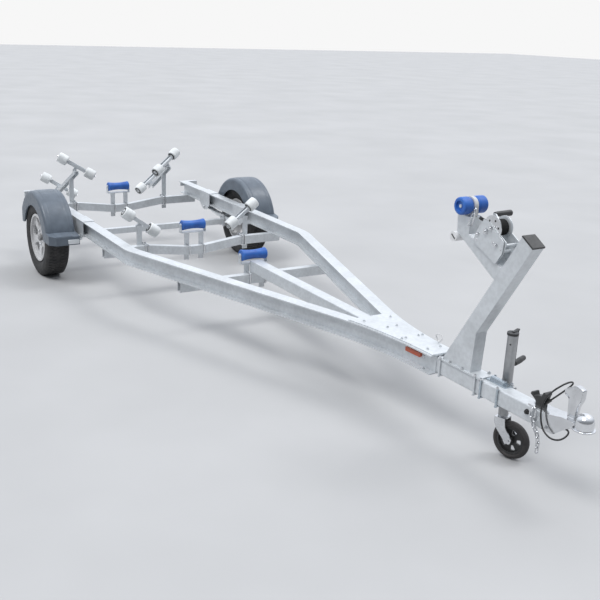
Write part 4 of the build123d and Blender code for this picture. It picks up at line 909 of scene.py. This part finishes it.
# Coupling: its lever's side outline, whose two foot corners are sharper, and the dome over the ball
LEVER = [(4598.0, 502.1), (4636.0, 502.1), (4642.0, 560.0), (4660.0, 600.0), (4662.0, 646.0), (4622.0, 656.0),
         (4596.0, 640.0), (4566.0, 622.0), (4566.0, 598.0), (4590.0, 590.0)]
LEVER_HALF = 13.0
LEVER_CORNER, LEVER_FOOT_CORNER = 9.0, 3.0
LEVER_RIM = 4.5
LEVER_SINK = 4.0
LEVER_EDGE = 0.9
BALL_X = 4684.0
DOME_FOOT_Z = 482.0
DOME_R = 41.7
DOME_WALL = 0.8
DOME_STRAIGHT = 28.0
DOME_ARCH = 40.0
KEEPER_X, KEEPER_END_Y, KEEPER_Z = 3808.0, -51.0, 1118.0
# outline of the black plate of painted shade in the keeper's slot
KEEPER_SLOT_SHADE = [(-15, -3.5), (15, -3.5), (17, 0), (15, 3.5), (-15, 3.5), (-17, 0)]


def add_lever():
    """Cast lever with sunk sides and soft edges."""
    corners = [Vector((x, z, 0.0)) for x, z in LEVER]
    middle = [(corners[k - 1] + corners[k]) / 2 for k in range(len(LEVER))]
    outline = []
    for k, corner in enumerate(corners):
        radius = LEVER_FOOT_CORNER if k < 2 else LEVER_CORNER
        outline += rounded([middle[k], corner, middle[(k + 1) % len(LEVER)]], radius, 4)[1:-1]
    bm = side_plate([(v.x, v.y) for v in outline], LEVER_HALF, 2 * LEVER_HALF)
    bmesh.ops.recalc_face_normals(bm, faces=bm.faces)
    faces = [f for f in bm.faces if abs(f.normal.y) > 0.9]
    bmesh.ops.inset_individual(bm, faces=faces, thickness=LEVER_RIM * MM, depth=-LEVER_SINK * MM)
    edges = [e for e in bm.edges if e.calc_face_angle(0.0) > radians(40)]
    bmesh.ops.bevel(bm, geom=edges, offset=LEVER_EDGE * MM, segments=2, profile=0.5, affect="EDGES")
    keep("lever_casting", bm, "root", "bright_zinc", ["coupling_lever"], 40.0)


def dome_arch(height, radius):
    """Points (along, radius) of the dome's arch, from its straight foot to its top."""
    arch = [(DOME_STRAIGHT + height * sin(pi / 2 * k / 16), radius * cos(pi / 2 * k / 16)) for k in range(16)]
    return arch + [(DOME_STRAIGHT + height, 0.0)]


def add_coupling_details():
    """The lever, the round dome over the ball, and a black plate of painted shade in the slot in the keeper's end.
    """
    add_lever()
    inner = dome_arch(DOME_ARCH - DOME_WALL, DOME_R - DOME_WALL)[:0:-1]
    rows = [(0, DOME_R - 1.0), (0, DOME_R)] + dome_arch(DOME_ARCH, DOME_R) + inner
    place = frame_of(at(BALL_X, 0, DOME_FOOT_Z), way(*UP), way(1, 0, 0))
    keep("coupling_dome", lathe(rows, place, 64), "root", "bright_zinc", (), 50.0)
    # painted shade: a thin black plate in the keeper's slot
    slot = frame_of(at(KEEPER_X, KEEPER_END_Y, KEEPER_Z), way(0.78, 0, -0.62), way(*NEAR))
    keep("keeper_slot_shade", plate(KEEPER_SLOT_SHADE, slot, 0.6), "root", "black_plastic")


add_coupling_details()

JOCKEY_X, JOCKEY_Y = 4133.0, 88.0
TUBE_R = 24.3
TUBE_HOLE_Z = 664.0
TUBE_HOLE_WAY = (0.5, -0.866)
# outline of the black disc of painted shade in that hole
TUBE_HOLE_SHADE_OUTLINE = [(0, 0), (0, 4.5), (0.5, 4.5), (0.5, 0)]


def add_tube_hole_shade():
    """Painted shade: a black disc in the small hole near the top of the jockey's outer tube."""
    c, s = TUBE_HOLE_WAY
    place = frame_of(at(JOCKEY_X + TUBE_R * c, JOCKEY_Y + TUBE_R * s, TUBE_HOLE_Z), way(c, s, 0), way(*UP))
    keep("tube_hole_shade", lathe(TUBE_HOLE_SHADE_OUTLINE, place, 20), "jockey_swing_arm", "black_plastic")


add_tube_hole_shade()


ROPE_AT, ROPE_REACH, ROPE_R = (3640.0, 72.0, 526.0), (22.0, 6.0, 20.0), 3.0


def add_rope_loop():
    """Small white rope loop tied behind the post's foot."""
    (x, y, z), (rx, ry, rz) = ROPE_AT, ROPE_REACH
    points = [at(x + rx * cos(a), y + ry * sin(2 * a), z + rz * sin(a)) for a in round_trip(24)]
    keep("rope_loop", pipe(points, ROPE_R, 8, closed=True), "root", "white_webbing")


add_rope_loop()


# Lights, floor and world
# direction that the light comes from, angle of the lamp, strength
LAMPS = {"key": ((0.1, 0.6, 1.0), 22.0, 0.8), "fill": ((0.1, -0.55, 1.0), 28.0, 1.65)}
BRIGHT_SKY = (-0.40, 0.26, 0.88)
SKY_STOPS = [(0.0, (0.20, 0.21, 0.23)), (0.25, (0.42, 0.45, 0.50)), (0.5, (0.95, 1.0, 1.08)),
             (1.0, (1.15, 1.20, 1.30))]
BACKDROP = (0.93, 0.93, 0.93, 1.0)
FLOOR_HALF = 60.0
FLOOR_DROP = 0.0015


def add_world():
    """A sky that is brighter on one side, and a plain backdrop for the camera."""
    world = bpy.data.worlds.new("studio")
    bpy.context.scene.world = world
    world.use_nodes = True
    nodes, links = world.node_tree.nodes, world.node_tree.links
    back = nodes["Background"]
    toward = nodes.new("ShaderNodeVectorMath")
    toward.operation = "DOT_PRODUCT"
    toward.inputs[1].default_value = BRIGHT_SKY
    links.new(nodes.new("ShaderNodeTexCoord").outputs["Generated"], toward.inputs[0])
    links.new(ramp(nodes, links, toward.outputs["Value"], SKY_STOPS), back.inputs["Color"])
    backdrop = nodes.new("ShaderNodeBackground")
    backdrop.inputs["Color"].default_value = BACKDROP
    rays = nodes.new("ShaderNodeLightPath")
    mix = nodes.new("ShaderNodeMixShader")
    links.new(rays.outputs["Is Camera Ray"], mix.inputs["Fac"])
    links.new(back.outputs["Background"], mix.inputs[1])
    links.new(backdrop.outputs["Background"], mix.inputs[2])
    links.new(mix.outputs["Shader"], nodes["World Output"].inputs["Surface"])


def add_lamps():
    """Two soft lamps. The stronger one is on the photo's side."""
    for name, (source, angle, strength) in LAMPS.items():
        lamp = bpy.data.lights.new(name, "SUN")
        lamp.angle = radians(angle)
        lamp.energy = strength
        obj = bpy.data.objects.new(name, lamp)
        obj.rotation_euler = Vector(source).to_track_quat("Z", "Y").to_euler()
        bpy.context.scene.collection.objects.link(obj)


def add_floor():
    """A plain pale floor just under the wheels."""
    bm = bmesh.new()
    bmesh.ops.create_grid(bm, x_segments=1, y_segments=1, size=FLOOR_HALF)
    mesh = bpy.data.meshes.new("floor")
    bm.to_mesh(mesh)
    bm.free()
    floor = bpy.data.objects.new("floor", mesh)
    bpy.context.scene.collection.objects.link(floor)
    floor.location.z = -FLOOR_DROP
    mat, nodes, links, bsdf, coords = shader("floor_paint", 0.9)
    paint = clouds(nodes, links, coords, 0.8, 3.0, [(0.3, grey(0.40)), (0.7, grey(0.44))])
    links.new(paint, bsdf.inputs["Base Color"])
    mesh.materials.append(mat)


add_world()
add_lamps()
add_floor()
bpy.context.scene.view_settings.view_transform = "Standard"
